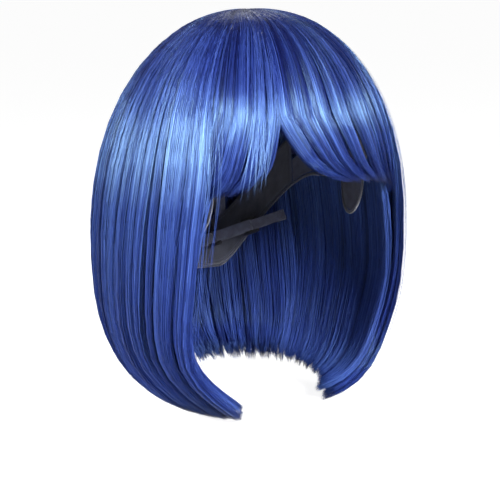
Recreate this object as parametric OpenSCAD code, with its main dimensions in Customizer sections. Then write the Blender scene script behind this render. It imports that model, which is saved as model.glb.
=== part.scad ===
// Bob-cut costume wig: a wefted cap with a skin top, elastic ribbons and strap adjusters at the
// nape, and the hair as soft panels in layers. Millimetres, +Z up, -Y to the front of the head,
// +X to the wearer's left. The origin is the middle of the head at its widest level.
//
// Places on the cap are an azimuth, 0 at the front, 90 at the wearer's left ear and 180 at the
// back, and a fall angle, 0 at the crown and 90 at the head's widest level. A stand-off is a
// distance out from the head.

/* [Head] */
// Half of the head's width
head_half_width = 76; // [63:1:92]
// Half of the head's length, forehead to back
head_half_length = 97; // [80:1:117]
// Height of the crown above the head's widest level
crown_height = 106; // [88:1:128]

/* [Cap edge] */
// Level of the hairline at the forehead
front_edge_level = 56; // [46:1:66]
// Level of the edge over the ears
ear_edge_level = 4; // [-4:1:12]
// Level of the edge at the nape, below the widest level
nape_edge_drop = 66; // [55:1:76]
// Width of the forehead band
front_band_width = 22; // [16:1:28]
// Width of the bands over the ears
side_band_width = 16; // [12:1:20]
// Width of the nape band
nape_band_width = 34; // [28:1:42]
// Length of the ear tabs below the edge
ear_tab_length = 26; // [20:1:32]
// Half of an ear tab's width, in degrees of azimuth
ear_tab_half_span = 9; // [7:1:11]
// Height of the binding round the edge
binding_height = 2.4; // [2:0.1:3.2]

/* [Cap layers] */
// Thickness of the velvet linings
lining_thickness = 0.7; // [0.5:0.1:1]
// Thickness of the bands and ear tabs
band_thickness = 0.8; // [0.6:0.1:1.2]
// Thickness of the crown net
net_thickness = 0.4; // [0.3:0.1:0.6]
// Thickness of the elastic ribbons
ribbon_thickness = 0.7; // [0.5:0.1:1]
// Thickness of a weft's sewn header
weft_thickness = 1.4; // [1:0.1:1.8]
// Height of a weft's sewn header
weft_height = 3.2; // [2.4:0.1:4]
// Thickness of the skin top
skin_thickness = 0.8; // [0.5:0.1:1.2]
// Gap between one layer and the next
layer_gap = 0.3; // [0.25:0.05:0.4]
// Gap between the net and what it lies on or under
net_gap = 0.6; // [0.5:0.05:0.7]

/* [Ribbons and wefts] */
// Width of an elastic ribbon
ribbon_width = 9; // [7:0.5:11]
// Step from one weft down to the next, in degrees of fall
weft_step = 9; // [7:0.5:9]
// Fall angle of the highest weft
first_weft_fall = 44; // [40:1:47]
// Fall angle of the skin top's edge
skin_top_fall = 27; // [22:1:30]
// Fall angle of the crown net's edge at the back
net_back_fall = 60; // [56:1:66]
// Width of an ear tab's stay
stay_width = 4; // [3:0.5:5]
// Thickness of an ear tab's stay
stay_thickness = 0.8; // [0.6:0.1:1]

/* [Adjusters] */
// Width of an adjuster strap
strap_width = 8; // [6.5:0.5:10]
// Thickness of an adjuster strap
strap_thickness = 0.9; // [0.7:0.1:1.1]
// Radius of a slider's middle bar
slider_bar_radius = 0.7; // [0.6:0.05:0.9]
// Thickness of a slider's rails
slider_rail = 1.6; // [1.3:0.1:2]
// Length of a slider along its strap
slider_length = 12; // [10:0.5:14]
// Clearance between a strap and the plastic round it
strap_gap = 0.3; // [0.25:0.05:0.4]
// Clearance between a strap's edges and the plastic beside it
side_gap = 0.4; // [0.3:0.1:0.6]

/* [Hair] */
// Hair outside the head at the sides
hair_side_volume = 37; // [32:1:44]
// Hair outside the head at the front
hair_front_volume = 23; // [19:1:28]
// Hair outside the head at the back
hair_back_volume = 24; // [20:1:29]
// Hair above the crown
hair_top_volume = 21; // [17:1:25]
// Level where the hair is widest, below the head's widest level
hair_widest_drop = 40; // [33:1:48]
// Level of the ends at the front, below the head's widest level
hair_end_drop = 158; // [132:1:190]
// Rise of the ends from the front to the back
end_rise = 12; // [8:1:16]
// Radius at the front ends as a share of the widest radius
end_tuck = 0.42; // [0.36:0.01:0.5]
// Squareness of the turn of the ends, 2 is an ellipse
end_squareness = 2.6; // [2.2:0.05:2.8]
// Squareness of the crown at the front, 2 is an ellipse
front_squareness = 2.3; // [2.1:0.05:2.6]
// Squareness of the crown at the back, 2 is an ellipse
back_squareness = 2.1; // [2:0.05:2.4]
// Thickness of the top layer of hair
top_hair_thickness = 5.5; // [4.6:0.1:6.6]
// Thickness of a layer of weft hair
weft_hair_thickness = 3.6; // [3:0.1:4.2]
// Gap between one panel of hair and the next
hair_gap = 0.5; // [0.4:0.1:0.8]
// Azimuth of the side hair's front edge beside the forehead
side_hair_front = 55; // [52:1:58]
// Azimuth of the side hair's front edge beside the jaw
side_hair_jaw = 63; // [60:1:66]
// Azimuth of the side hair's front edge at its ends
side_hair_tip = 48; // [45:1:54]
// Azimuth of the fringe's parting, to the wearer's right of the middle
fringe_parting = -28; // [-33:1:-22]
// Level of the fringe's ends over the brow
fringe_brow_level = 17; // [12:1:22]
// Height of the gap in the fringe at its parting
fringe_notch = 39; // [30:1:42]

/* [Hidden] */

hair_colour = [0.22, 0.36, 0.80];
under_hair_colour = [0.13, 0.20, 0.55];
band_colour = [0.10, 0.11, 0.16];
velvet_colour = [0.06, 0.06, 0.09];
ribbon_colour = [0.14, 0.15, 0.24];
skin_colour = [0.80, 0.66, 0.52];
plastic_colour = [0.12, 0.12, 0.14];
steel_colour = [0.70, 0.71, 0.73];
label_colour = [0.92, 0.92, 0.90];

// Stand-offs of the cap's layers, from the head outwards.
lining_in = 0.2;
lining_out = lining_in + lining_thickness;
band_in = lining_out + layer_gap;
band_out = band_in + band_thickness;
net_in = band_out + net_gap;
net_out = net_in + net_thickness;
ribbon_in = net_out + layer_gap;
ribbon_out = ribbon_in + ribbon_thickness;
weft_in = ribbon_out + layer_gap;
weft_out = weft_in + weft_thickness;
skin_in = net_out + net_gap;
skin_out = skin_in + skin_thickness;
stay_in = band_out + layer_gap;
stay_out = stay_in + stay_thickness;

// Azimuths of the cap's sewn joints, on the wearer's left.
front_band_end = 62;
nape_band_start = 112;
ear_tab_azimuth = 73;
seam_gap = 0.5;
weft_count = 9;

// ---- Shared functions ----

function mix(a, b, t) = a + (b - a) * t;
function clamp01(t) = min(1, max(0, t));
function smooth(t) = let (c = clamp01(t)) c * c * (3 - 2 * c);
function unit(v) = v / norm(v);

// A length along the head as an angle of fall.
function fall_of(length) = length / ((head_half_length + crown_height) / 2) * 180 / PI;
// A length round the head as an angle of azimuth, at a fall angle.
function turn_of(length, fall) =
    length / ((head_half_width + head_half_length) / 2 * sin(fall)) * 180 / PI;

function cap_point(azimuth, fall, standoff) = [
    (head_half_width + standoff) * sin(fall) * sin(azimuth),
    -(head_half_length + standoff) * sin(fall) * cos(azimuth),
    (crown_height + standoff) * cos(fall)
];

// Level and fall angle of the cap's edge. The azimuth runs from 0 to 360.
function from_front(azimuth) = azimuth > 180 ? 360 - azimuth : abs(azimuth);
function edge_level(azimuth) =
    let (a = from_front(azimuth))
    a < 90
        ? mix(front_edge_level, ear_edge_level, smooth((a - 22) / 60))
        : mix(ear_edge_level, -nape_edge_drop, smooth((a - 98) / 60));
function edge_fall(azimuth) = acos(edge_level(azimuth) / crown_height);

// The outer surface of the hair at an azimuth and a fall angle, taken in by a depth. Above its
// widest level it rounds over the crown, and below it another superellipse turns the ends in.
hair_rise = crown_height + hair_top_volume + hair_widest_drop;
hair_fall_depth = (hair_end_drop - hair_widest_drop)
    / pow(1 - pow(end_tuck, end_squareness), 1 / end_squareness);
function hair_reach(azimuth) =
    head_half_length + (from_front(azimuth) < 90 ? hair_front_volume : hair_back_volume);
function squareness(azimuth) =
    mix(front_squareness, back_squareness, smooth((from_front(azimuth) - 50) / 80));
function hair_power(azimuth, fall) = 2 / (fall < 90 ? squareness(azimuth) : end_squareness);
function hair_spread(azimuth, fall) = pow(sin(fall), hair_power(azimuth, fall));
function hair_level(azimuth, fall, depth) = -hair_widest_drop
    + (fall < 90
        ? (hair_rise - depth) * pow(cos(fall), hair_power(azimuth, fall))
        : (depth - hair_fall_depth) * pow(-cos(fall), hair_power(azimuth, fall)));
function hair_point(azimuth, fall, depth) = [
    (head_half_width + hair_side_volume - depth) * hair_spread(azimuth, fall) * sin(azimuth),
    -(hair_reach(azimuth) - depth) * hair_spread(azimuth, fall) * cos(azimuth),
    hair_level(azimuth, fall, depth)
];
// Fall angle of the outer surface at a level above its widest one.
function hair_fall_at(azimuth, level) =
    acos(pow((level + hair_widest_drop) / hair_rise, squareness(azimuth) / 2));
// Fall angle of the ends, which rise towards the back.
function hair_end_fall(azimuth) =
    let (
        rise = end_rise * smooth((from_front(azimuth) - side_hair_tip) / 90),
        drop = hair_end_drop - hair_widest_drop - rise
    )
    90 + asin(pow(drop / hair_fall_depth, end_squareness / 2));
// Azimuth of the side hair's front edge, which swings back beside the jaw and forward at the ends.
function side_front(fall) = mix(
    mix(side_hair_front, side_hair_jaw, smooth((fall - 65) / 48)), side_hair_tip,
    smooth((fall - 115) / 38));

// A layer of hair lies on the cap until its leaving angle, and swings out from there to its
// depth in the hair.
root_clearance = 0.5;
leave_span = 36;
function layer_point(azimuth, fall, depth, leave) =
    let (
        root_fall = fall < 90 ? asin(hair_spread(azimuth, fall)) : fall,
        root = cap_point(azimuth, root_fall, weft_out + root_clearance)
    )
    mix(root, hair_point(azimuth, fall, depth), smooth((fall - leave) / leave_span));

// A closed solid between two sheets. place(u, v, k) gives a point with u and v from 0 to 1 and
// k 0 on the inner sheet and 1 on the outer one. u runs to the wearer's left, v runs down.
module sheet_solid(place, across, down) {
    row = across + 1;
    sheet = row * (down + 1);
    points = [for (k = [0, 1], j = [0:down], i = [0:across]) place(i / across, j / down, k)];
    function quad(a, b, c, d) = [[a, b, c], [a, c, d]];
    walls = [
        for (j = [0:down - 1], i = [0:across - 1])
            let (a = j * row + i)
            each concat(
                quad(a, a + 1, a + 1 + row, a + row),
                quad(a + sheet, a + row + sheet, a + 1 + row + sheet, a + 1 + sheet))
    ];
    ends = [
        for (i = [0:across - 1])
            let (a = i, b = down * row + i)
            each concat(
                quad(a + sheet, a + 1 + sheet, a + 1, a),
                quad(b, b + 1, b + 1 + sheet, b + sheet))
    ];
    sides = [
        for (j = [0:down - 1])
            let (a = j * row, b = j * row + across)
            each concat(
                quad(a, a + row, a + row + sheet, a + sheet),
                quad(b + sheet, b + row + sheet, b + row, b))
    ];
    polyhedron(points, concat(walls, ends, sides));
}

// A closed solid between two domes that share an axis through v 0, the crown. place is as above,
// with u going once round.
module dome_solid(place, round, down) {
    shell = 1 + round * down;
    points = [
        for (k = [0, 1])
            each concat(
                [place(0, 0, k)],
                [for (j = [1:down], i = [0:round - 1]) place(i / round, j / down, k)])
    ];
    function at(k, j, i) = k * shell + (j == 0 ? 0 : 1 + (j - 1) * round + i % round);
    faces = [
        for (i = [0:round - 1])
            each concat(
                [[at(1, 0, 0), at(1, 1, i), at(1, 1, i + 1)]],
                [[at(0, 0, 0), at(0, 1, i + 1), at(0, 1, i)]],
                [for (j = [1:down - 1]) each [
                    [at(1, j, i), at(1, j + 1, i), at(1, j + 1, i + 1)],
                    [at(1, j, i), at(1, j + 1, i + 1), at(1, j, i + 1)],
                    [at(0, j, i), at(0, j + 1, i + 1), at(0, j + 1, i)],
                    [at(0, j, i), at(0, j, i + 1), at(0, j + 1, i + 1)]
                ]],
                [
                    [at(1, down, i), at(0, down, i), at(0, down, i + 1)],
                    [at(1, down, i), at(0, down, i + 1), at(1, down, i + 1)]
                ])
    ];
    polyhedron(points, faces);
}

// A closed loop with a four-cornered section, such as a binding. corner(u, n) gives corner n of
// the section, counted upwards and outwards from the inner lower one.
module loop_solid(corner, round) {
    points = [for (i = [0:round - 1], n = [0:3]) corner(i / round, n)];
    function at(i, n) = (i % round) * 4 + n % 4;
    faces = [
        for (i = [0:round - 1], n = [0:3]) each [
            [at(i, n), at(i + 1, n), at(i + 1, n + 1)],
            [at(i, n), at(i + 1, n + 1), at(i, n + 1)]
        ]
    ];
    polyhedron(points, faces);
}

// A patch of the cap from one azimuth to another, between two fall angles that may change with
// the azimuth.
module cap_patch(from, to, upper, lower, inner, outer, across, down) {
    sheet_solid(
        function (u, v, k)
            let (azimuth = mix(from, to, u))
            cap_point(azimuth, mix(upper(azimuth), lower(azimuth), v), mix(inner, outer, k)),
        across, down);
}

module mirrored(side) {
    if (side > 0) children();
    else mirror([1, 0, 0]) children();
}

// ---- Cap ----

module skin_top() {
    color(skin_colour)
        dome_solid(
            function (u, v, k) cap_point(360 * u, skin_top_fall * v, mix(skin_in, skin_out, k)),
            28, 4);
}

// The net runs under the skin top and laps over the upper edge of the bands.
net_lap = 5;
function band_top_fall(azimuth) =
    let (
        a = from_front(azimuth),
        width = mix(front_band_width, side_band_width, smooth((a - 40) / 30))
    )
    edge_fall(azimuth) - fall_of(width - net_lap);
function net_fall(azimuth) =
    let (a = from_front(azimuth))
    min(band_top_fall(azimuth), mix(180, net_back_fall, smooth((a - 60) / 20)));

module crown_net() {
    color(band_colour)
        dome_solid(
            function (u, v, k) cap_point(360 * u, net_fall(360 * u) * v, mix(net_in, net_out, k)),
            48, 8);
}

module edge_band(from, to, width, inner, outer, across) {
    cap_patch(
        from, to,
        function (azimuth) edge_fall(azimuth) - fall_of(width),
        function (azimuth) edge_fall(azimuth),
        inner, outer, across, 3);
}

module front_band() {
    color(band_colour)
        edge_band(-front_band_end, front_band_end, front_band_width, band_in, band_out, 26);
}

lining_inset = 1.5;
module front_lining() {
    end = front_band_end - turn_of(lining_inset, 60);
    color(velvet_colour)
        edge_band(-end, end, front_band_width - lining_inset, lining_in, lining_out, 26);
}

// Over the ear the band is cut away for the ear tab's root, so it starts behind the tab.
module side_band() {
    color(band_colour)
        edge_band(
            front_band_end + turn_of(seam_gap, 90), nape_band_start - turn_of(seam_gap, 90),
            side_band_width, band_in, band_out, 12);
}

module nape_band() {
    color(band_colour)
        edge_band(
            nape_band_start, 360 - nape_band_start, nape_band_width, band_in, band_out, 30);
}

module nape_lining() {
    start = nape_band_start + turn_of(lining_inset, 100);
    color(velvet_colour)
        edge_band(
            start, 360 - start, nape_band_width - lining_inset, lining_in, lining_out, 30);
}

// Where the ear tabs hang, the binding follows the tab round.
function tab_drop(azimuth) =
    let (
        a = from_front(azimuth),
        t = (a - ear_tab_azimuth) / ear_tab_half_span
    )
    abs(t) < 1 ? ear_tab_length * pow(1 - t * t, 0.4) : 0;
function bound_fall(azimuth) = edge_fall(azimuth) + fall_of(seam_gap + tab_drop(azimuth));

// The section's points are close together at the tabs, so that the binding keeps to their outline.
binding_azimuths = concat(
    [for (a = [0:8:56]) a],
    [for (t = [-1:0.125:1]) ear_tab_azimuth + (ear_tab_half_span + 0.5) * t],
    [for (a = [88:8:176]) a]);
binding_round = concat(
    binding_azimuths, [180], [for (n = [len(binding_azimuths) - 1:-1:1]) 360 - binding_azimuths[n]]);

module edge_binding() {
    color(velvet_colour)
        loop_solid(
            function (u, n)
                let (
                    azimuth = binding_round[round(u * len(binding_round))],
                    top = bound_fall(azimuth),
                    low = top + fall_of(binding_height)
                )
                cap_point(
                    azimuth, n == 0 || n == 3 ? low : top, n < 2 ? lining_in : band_out),
            len(binding_round));
}

module ear_tab() {
    color(band_colour)
        cap_patch(
            ear_tab_azimuth - ear_tab_half_span * 0.97, ear_tab_azimuth + ear_tab_half_span * 0.97,
            function (azimuth) edge_fall(azimuth) + fall_of(seam_gap / 2),
            function (azimuth) edge_fall(azimuth) + fall_of(tab_drop(azimuth)),
            band_in, band_out, 12, 4);
}

// The stay is a flat strip up the middle of the tab, sewn under its outer face.
module ear_stay() {
    half = turn_of(stay_width / 2, 90);
    color(steel_colour)
        cap_patch(
            ear_tab_azimuth - half, ear_tab_azimuth + half,
            function (azimuth) edge_fall(ear_tab_azimuth) - fall_of(side_band_width - net_lap - 2),
            function (azimuth) edge_fall(ear_tab_azimuth) + fall_of(ear_tab_length - 5),
            stay_in, stay_out, 2, 8);
}

// An elastic ribbon from under the net's edge down to the lower part of the edge band.
ribbon_lap = 8;
module ribbon(azimuth, band_width) {
    top = net_fall(azimuth) - fall_of(ribbon_lap);
    low = edge_fall(azimuth) - fall_of(band_width - ribbon_lap);
    color(ribbon_colour)
        sheet_solid(
            function (u, v, k)
                let (fall = mix(top, low, v))
                cap_point(
                    azimuth + turn_of(ribbon_width, fall) * (u - 0.5), fall,
                    mix(ribbon_in, ribbon_out, k)),
            2, 12);
}

// A weft is a sewn header that runs round the back at one fall angle, from edge band to edge band.
// High up it is sewn to the net, low down to the nape band, and between them to the ribbons.
weft_edge_margin = 6;
ribbon_top_fall = net_back_fall - fall_of(ribbon_lap);
ribbon_low_fall = edge_fall(180) - fall_of(nape_band_width - ribbon_lap);
function weft_seat(fall) =
    fall + fall_of(weft_height) < ribbon_top_fall ? net_out + net_gap
    : fall > ribbon_low_fall ? band_out + net_gap
    : weft_in;
function weft_fall(n) = first_weft_fall + weft_step * (n - 1);
function weft_start(fall) =
    [for (a = [66:1:170]) if (edge_fall(a) > fall + fall_of(weft_edge_margin)) a][0];

module weft(n) {
    fall = weft_fall(n);
    start = weft_start(fall);
    color(ribbon_colour)
        cap_patch(
            start, 360 - start,
            function (azimuth) fall, function (azimuth) fall + fall_of(weft_height),
            weft_seat(fall), weft_seat(fall) + weft_thickness, 30, 1);
}

module fringe_weft(fall) {
    color(ribbon_colour)
        cap_patch(
            -front_band_end + 4, front_band_end - 4,
            function (azimuth) fall, function (azimuth) fall + fall_of(weft_height),
            weft_seat(fall), weft_seat(fall) + weft_thickness, 24, 1);
}

// A blank satin label, sewn by its upper edge inside the nape band and hanging off the lining.
label_width = 20;
label_height = 13;
label_thickness = 0.4;
module care_label() {
    top = edge_fall(180) - fall_of(nape_band_width - 4);
    color(label_colour)
        cap_patch(
            180 - turn_of(label_width / 2, top), 180 + turn_of(label_width / 2, top),
            function (azimuth) top, function (azimuth) top + fall_of(label_height),
            -0.1 - label_thickness, -0.1, 4, 3);
}

// ---- Strap adjusters, on the wearer's left ----

// The strap runs straight from its anchor by the ear to the ring at the nape. Along is its
// direction, and inward points at the head's middle. Its own frame has x along, z inward.
anchor_azimuth = 114;
anchor_drop = 30;
tab_azimuth = 167;
tab_drop_level = 52;

// Heights in the strap's frame. The slider's middle bar is at 0. The strap's end is sewn round
// it, and the strap's main run lies under that, towards the cap.
loop_inner = slider_bar_radius + strap_gap;
loop_outer = loop_inner + strap_thickness;
main_top = -loop_outer - strap_gap;
main_low = main_top - strap_thickness;
fold_inner = (loop_inner - main_top) / 2;
fold_outer = fold_inner + strap_thickness;
fold_height = (loop_inner + main_top) / 2;
ring_bar_radius = fold_inner - strap_gap / 2;
anchor_pad = 1.2;
anchor_length = 8;
sewn_gap = 0.1;
// The ring is long enough for the strap and its own tab to fold round its two bars side by side.
ring_length = 2 * (fold_outer + ring_bar_radius) + sewn_gap;
anchor_depth = anchor_pad + sewn_gap - main_low;
tab_depth = fold_outer - fold_height;
strap_start = cap_point(anchor_azimuth, acos(-anchor_drop / crown_height), -anchor_depth);
strap_finish = cap_point(tab_azimuth, acos(-tab_drop_level / crown_height), -tab_depth);
strap_along = unit(strap_finish - strap_start);
strap_middle = (strap_start + strap_finish) / 2;
head_normal = unit([
    strap_middle.x / pow(head_half_width, 2),
    strap_middle.y / pow(head_half_length, 2),
    strap_middle.z / pow(crown_height, 2)
]);
strap_inward = -unit(head_normal - (head_normal * strap_along) * strap_along);
strap_across = cross(strap_inward, strap_along);
strap_frame = [
    [strap_along.x, strap_across.x, strap_inward.x, strap_start.x],
    [strap_along.y, strap_across.y, strap_inward.y, strap_start.y],
    [strap_along.z, strap_across.z, strap_inward.z, strap_start.z],
    [0, 0, 0, 1]
];

strap_span = norm(strap_finish - strap_start);
ring_tab_length = 9;
strap_run = strap_span - ring_length - ring_tab_length + 2 * ring_bar_radius;
slider_place = strap_run / 2 + 1;
slider_half_width = strap_width / 2 + side_gap + slider_rail;

module in_strap_frame() {
    multmatrix(strap_frame) children();
}

// Half a tube round the y axis, open to the side that x points away from.
module fold(outer, inner, width) {
    rotate([90, 0, 0])
        linear_extrude(width, center = true)
            difference() {
                circle(outer, $fn = 40);
                circle(inner, $fn = 40);
                translate([-2 * outer, -outer * 1.5]) square([2 * outer, 3 * outer]);
            }
}

module strap_main() {
    color(ribbon_colour)
        in_strap_frame()
            union() {
                translate([0, -strap_width / 2, main_low])
                    cube([strap_run, strap_width, strap_thickness]);
                translate([strap_run, 0, fold_height]) fold(fold_outer, fold_inner, strap_width);
            }
}

module strap_return() {
    color(ribbon_colour)
        in_strap_frame()
            union() {
                translate([slider_place, -strap_width / 2, loop_inner])
                    cube([strap_run - slider_place, strap_width, strap_thickness]);
                translate([slider_place, 0, 0])
                    mirror([1, 0, 0]) fold(loop_outer, loop_inner, strap_width);
                translate([slider_place, -strap_width / 2, -loop_outer])
                    cube([slider_length / 2 + 3, strap_width, strap_thickness]);
            }
}

module slider() {
    end_bar_low = main_low - strap_gap - 1.2;
    color(plastic_colour)
        in_strap_frame()
            translate([slider_place, 0, 0])
                union() {
                    for (s = [-1, 1])
                        translate([0, s * (slider_half_width - slider_rail / 2), 0])
                            rotate([90, 0, 0])
                                linear_extrude(slider_rail, center = true)
                                    offset_bar(slider_length, end_bar_low, slider_bar_radius);
                    rotate([90, 0, 0])
                        cylinder(
                            h = 2 * slider_half_width - slider_rail, r = slider_bar_radius,
                            center = true, $fn = 32);
                    for (s = [-1, 1])
                        translate([
                            s * (slider_length / 2 - 1.1) - 0.9, -slider_half_width + slider_rail / 2,
                            end_bar_low])
                            cube([1.8, 2 * slider_half_width - slider_rail, 1.2]);
                }
}

// A rail's side view: a bar with rounded ends.
module offset_bar(length, low, high) {
    radius = (high - low) / 2;
    for (s = [-1, 1])
        translate([s * (length / 2 - radius), (low + high) / 2]) circle(radius, $fn = 32);
    translate([-(length / 2 - radius), low]) square([length - 2 * radius, high - low]);
}

// The strap passes round the ring's near bar, and the tab round its far bar.
ring_rail = 1.6;
ring_half_width = strap_width / 2 + side_gap + ring_rail;
module ring() {
    reach = ring_length - 2 * ring_bar_radius;
    color(plastic_colour)
        in_strap_frame()
            translate([strap_run, 0, fold_height])
                union() {
                    for (x = [0, reach])
                        translate([x, 0, 0])
                            rotate([90, 0, 0])
                                cylinder(
                                    h = 2 * ring_half_width - ring_rail, r = ring_bar_radius,
                                    center = true, $fn = 32);
                    for (s = [-1, 1])
                        translate([
                            -ring_bar_radius, s * (ring_half_width - ring_rail / 2) - ring_rail / 2,
                            -ring_bar_radius])
                            cube([
                                reach + 2 * ring_bar_radius, ring_rail, 2 * ring_bar_radius]);
                }
}

module ring_tab() {
    reach = ring_length - 2 * ring_bar_radius;
    color(ribbon_colour)
        in_strap_frame()
            translate([strap_run + reach, 0, fold_height])
                union() {
                    mirror([1, 0, 0]) fold(fold_outer, fold_inner, strap_width);
                    for (z = [fold_inner, -fold_outer])
                        translate([0, -strap_width / 2, z])
                            cube([ring_tab_length, strap_width, strap_thickness]);
                    translate([ring_bar_radius + 1.5, -strap_width / 2, -fold_inner])
                        cube([
                            ring_tab_length - ring_bar_radius - 1.5, strap_width, 2 * fold_inner]);
                }
}

// The pad that carries the strap's sewn end off the side band.
module strap_anchor() {
    color(velvet_colour)
        in_strap_frame()
            translate([0, -strap_width / 2, main_low - sewn_gap - anchor_pad])
                cube([anchor_length, strap_width, anchor_pad]);
}

// ---- Hair ----

whorl_fall = 18;
top_leave = 50;
gap_turn = turn_of(hair_gap, 60);
side_hair_back = 116;

// A panel of the top hair. Its azimuths and its lower edge are functions, and its ends may lean
// in towards the head.
module top_panel(from, to, lower, lean, across, down) {
    sheet_solid(
        function (u, v, k)
            let (
                top = whorl_fall + fall_of(hair_gap),
                reach = mix(top, lower(mix(from(top), to(top), u)), v),
                azimuth = mix(from(reach), to(reach), u),
                fall = mix(top, lower(azimuth), v),
                depth = lean * pow(v, 3)
            )
            k == 1
                ? hair_point(azimuth, fall, depth)
                : layer_point(azimuth, fall, depth + top_hair_thickness, top_leave),
        across, down);
}

module crown_hair() {
    color(hair_colour)
        dome_solid(
            function (u, v, k)
                k == 1
                    ? hair_point(360 * u, whorl_fall * v, 0)
                    : layer_point(360 * u, whorl_fall * v, top_hair_thickness, top_leave),
            28, 4);
}

// The fringe's ends follow the brow, with a gap that opens upwards at the parting, steep on the
// wearer's right of it and sweeping on the left. They lean in to the forehead.
fringe_lean = 6;
fringe_middle = -12;
fringe_droop = 0.0045;
notch_steep = 5.5;
notch_sweep = 12;
function fringe_level(azimuth) =
    let (
        right = azimuth < fringe_parting,
        away = abs(azimuth - fringe_parting) / (right ? notch_steep : notch_sweep)
    )
    fringe_brow_level - fringe_droop * pow(azimuth - fringe_middle, 2)
    + fringe_notch * exp(-pow(away, right ? 1.1 : 1.6));
function fringe_fall(azimuth) = hair_fall_at(azimuth, fringe_level(azimuth));

module fringe_left() {
    color(hair_colour)
        top_panel(
            function (fall) fringe_parting + gap_turn,
            function (fall) side_front(fall) - gap_turn,
            function (azimuth) fringe_fall(azimuth), fringe_lean, 16, 9);
}

module fringe_right() {
    color(hair_colour)
        top_panel(
            function (fall) -side_front(fall) + gap_turn,
            function (fall) fringe_parting - gap_turn,
            function (azimuth) fringe_fall(azimuth), fringe_lean, 10, 9);
}

module top_hair_side() {
    color(hair_colour)
        top_panel(
            function (fall) side_front(fall) + gap_turn,
            function (fall) side_hair_back - gap_turn,
            function (azimuth) hair_end_fall(azimuth), 0, 9, 18);
}

module top_hair_back() {
    color(hair_colour)
        top_panel(
            function (fall) side_hair_back + gap_turn,
            function (fall) 180 - gap_turn,
            function (azimuth) hair_end_fall(azimuth), 0, 8, 18);
}

// Weft hair hangs inside the top hair, each layer from wefts lower than the one outside it.
side_weft_top = weft_fall(3);
back_weft_top = weft_fall(3) + 2;
lower_weft_top = weft_fall(5) - 1;
nape_weft_top = weft_fall(7) - 4;
layer_lag = 7;
weft_hair_depth = top_hair_thickness + hair_gap;
weft_hair_layer = weft_hair_thickness + hair_gap;
module weft_panel(from, to, upper, layer, across, down) {
    leave = upper - 4;
    outer = weft_hair_depth + layer * weft_hair_layer;
    color(under_hair_colour)
        sheet_solid(
            function (u, v, k)
                let (
                    reach = mix(upper, hair_end_fall(mix(from(upper), to(upper), u)), v),
                    azimuth = mix(from(reach), to(reach), u),
                    fall = mix(upper, hair_end_fall(azimuth), v)
                )
                k == 1
                    ? layer_point(azimuth, fall, outer, leave)
                    : layer_point(
                        azimuth, fall, outer + weft_hair_thickness, leave + layer_lag),
            across, down);
}

side_weft_inset = 3;
module weft_hair_side() {
    weft_panel(
        function (fall) side_front(fall) + side_weft_inset,
        function (fall) side_hair_back - gap_turn, side_weft_top, 0, 8, 14);
}

// The back layers run from one side to the other, each starting a little further round.
module weft_hair_back(upper, layer, inset, down) {
    weft_panel(
        function (fall) side_hair_back + inset + gap_turn,
        function (fall) 360 - side_hair_back - inset - gap_turn, upper, layer, 16, down);
}

// ---- Nodes ----

skin_top();
crown_net();
front_band();
front_lining();
side_band();  // side_band_left
mirrored(-1) side_band();  // side_band_right
nape_band();
nape_lining();
edge_binding();
ear_tab();  // ear_tab_left
mirrored(-1) ear_tab();  // ear_tab_right
ear_stay();  // ear_stay_left
mirrored(-1) ear_stay();  // ear_stay_right
ribbon(180, nape_band_width);  // ribbon_back
ribbon(150, nape_band_width);  // ribbon_back_left
mirrored(-1) ribbon(150, nape_band_width);  // ribbon_back_right
ribbon(122, nape_band_width);  // ribbon_side_left
mirrored(-1) ribbon(122, nape_band_width);  // ribbon_side_right
ribbon(94, side_band_width);  // ribbon_ear_left
mirrored(-1) ribbon(94, side_band_width);  // ribbon_ear_right
for (n = [1:weft_count])
    weft(n);
fringe_weft(first_weft_fall - 9);  // fringe_weft_upper
fringe_weft(first_weft_fall);  // fringe_weft_lower
care_label();
strap_main();  // strap_left
mirrored(-1) strap_main();  // strap_right
strap_return();  // strap_return_left
mirrored(-1) strap_return();  // strap_return_right
strap_anchor();  // strap_anchor_left
mirrored(-1) strap_anchor();  // strap_anchor_right
ring();  // ring_left
mirrored(-1) ring();  // ring_right
ring_tab();  // ring_tab_left
mirrored(-1) ring_tab();  // ring_tab_right
slider();  // slider_left
mirrored(-1) slider();  // slider_right
crown_hair();
fringe_left();
fringe_right();
top_hair_side();  // top_hair_side_left
mirrored(-1) top_hair_side();  // top_hair_side_right
top_hair_back();  // top_hair_back_left
mirrored(-1) top_hair_back();  // top_hair_back_right
weft_hair_side();  // weft_hair_side_left
mirrored(-1) weft_hair_side();  // weft_hair_side_right
weft_hair_back(back_weft_top, 0, 0, 14);  // weft_hair_back_upper
weft_hair_back(lower_weft_top, 1, 2, 12);  // weft_hair_back_lower
weft_hair_back(nape_weft_top, 2, 6, 10);  // nape_hair
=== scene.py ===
"""Costume wig: a blue bob with a swept fringe, laid strand by strand over its sewn cap.

Run as a script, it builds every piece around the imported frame. Places on the head are an azimuth
in degrees, 0 at the face, 90 at the wearer's left ear and 180 at the back, and a fall angle in
degrees, 0 at the crown and 90 at the widest level. Lengths are in metres.
"""

import math

import bpy
import numpy as np
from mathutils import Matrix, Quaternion, Vector


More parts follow.
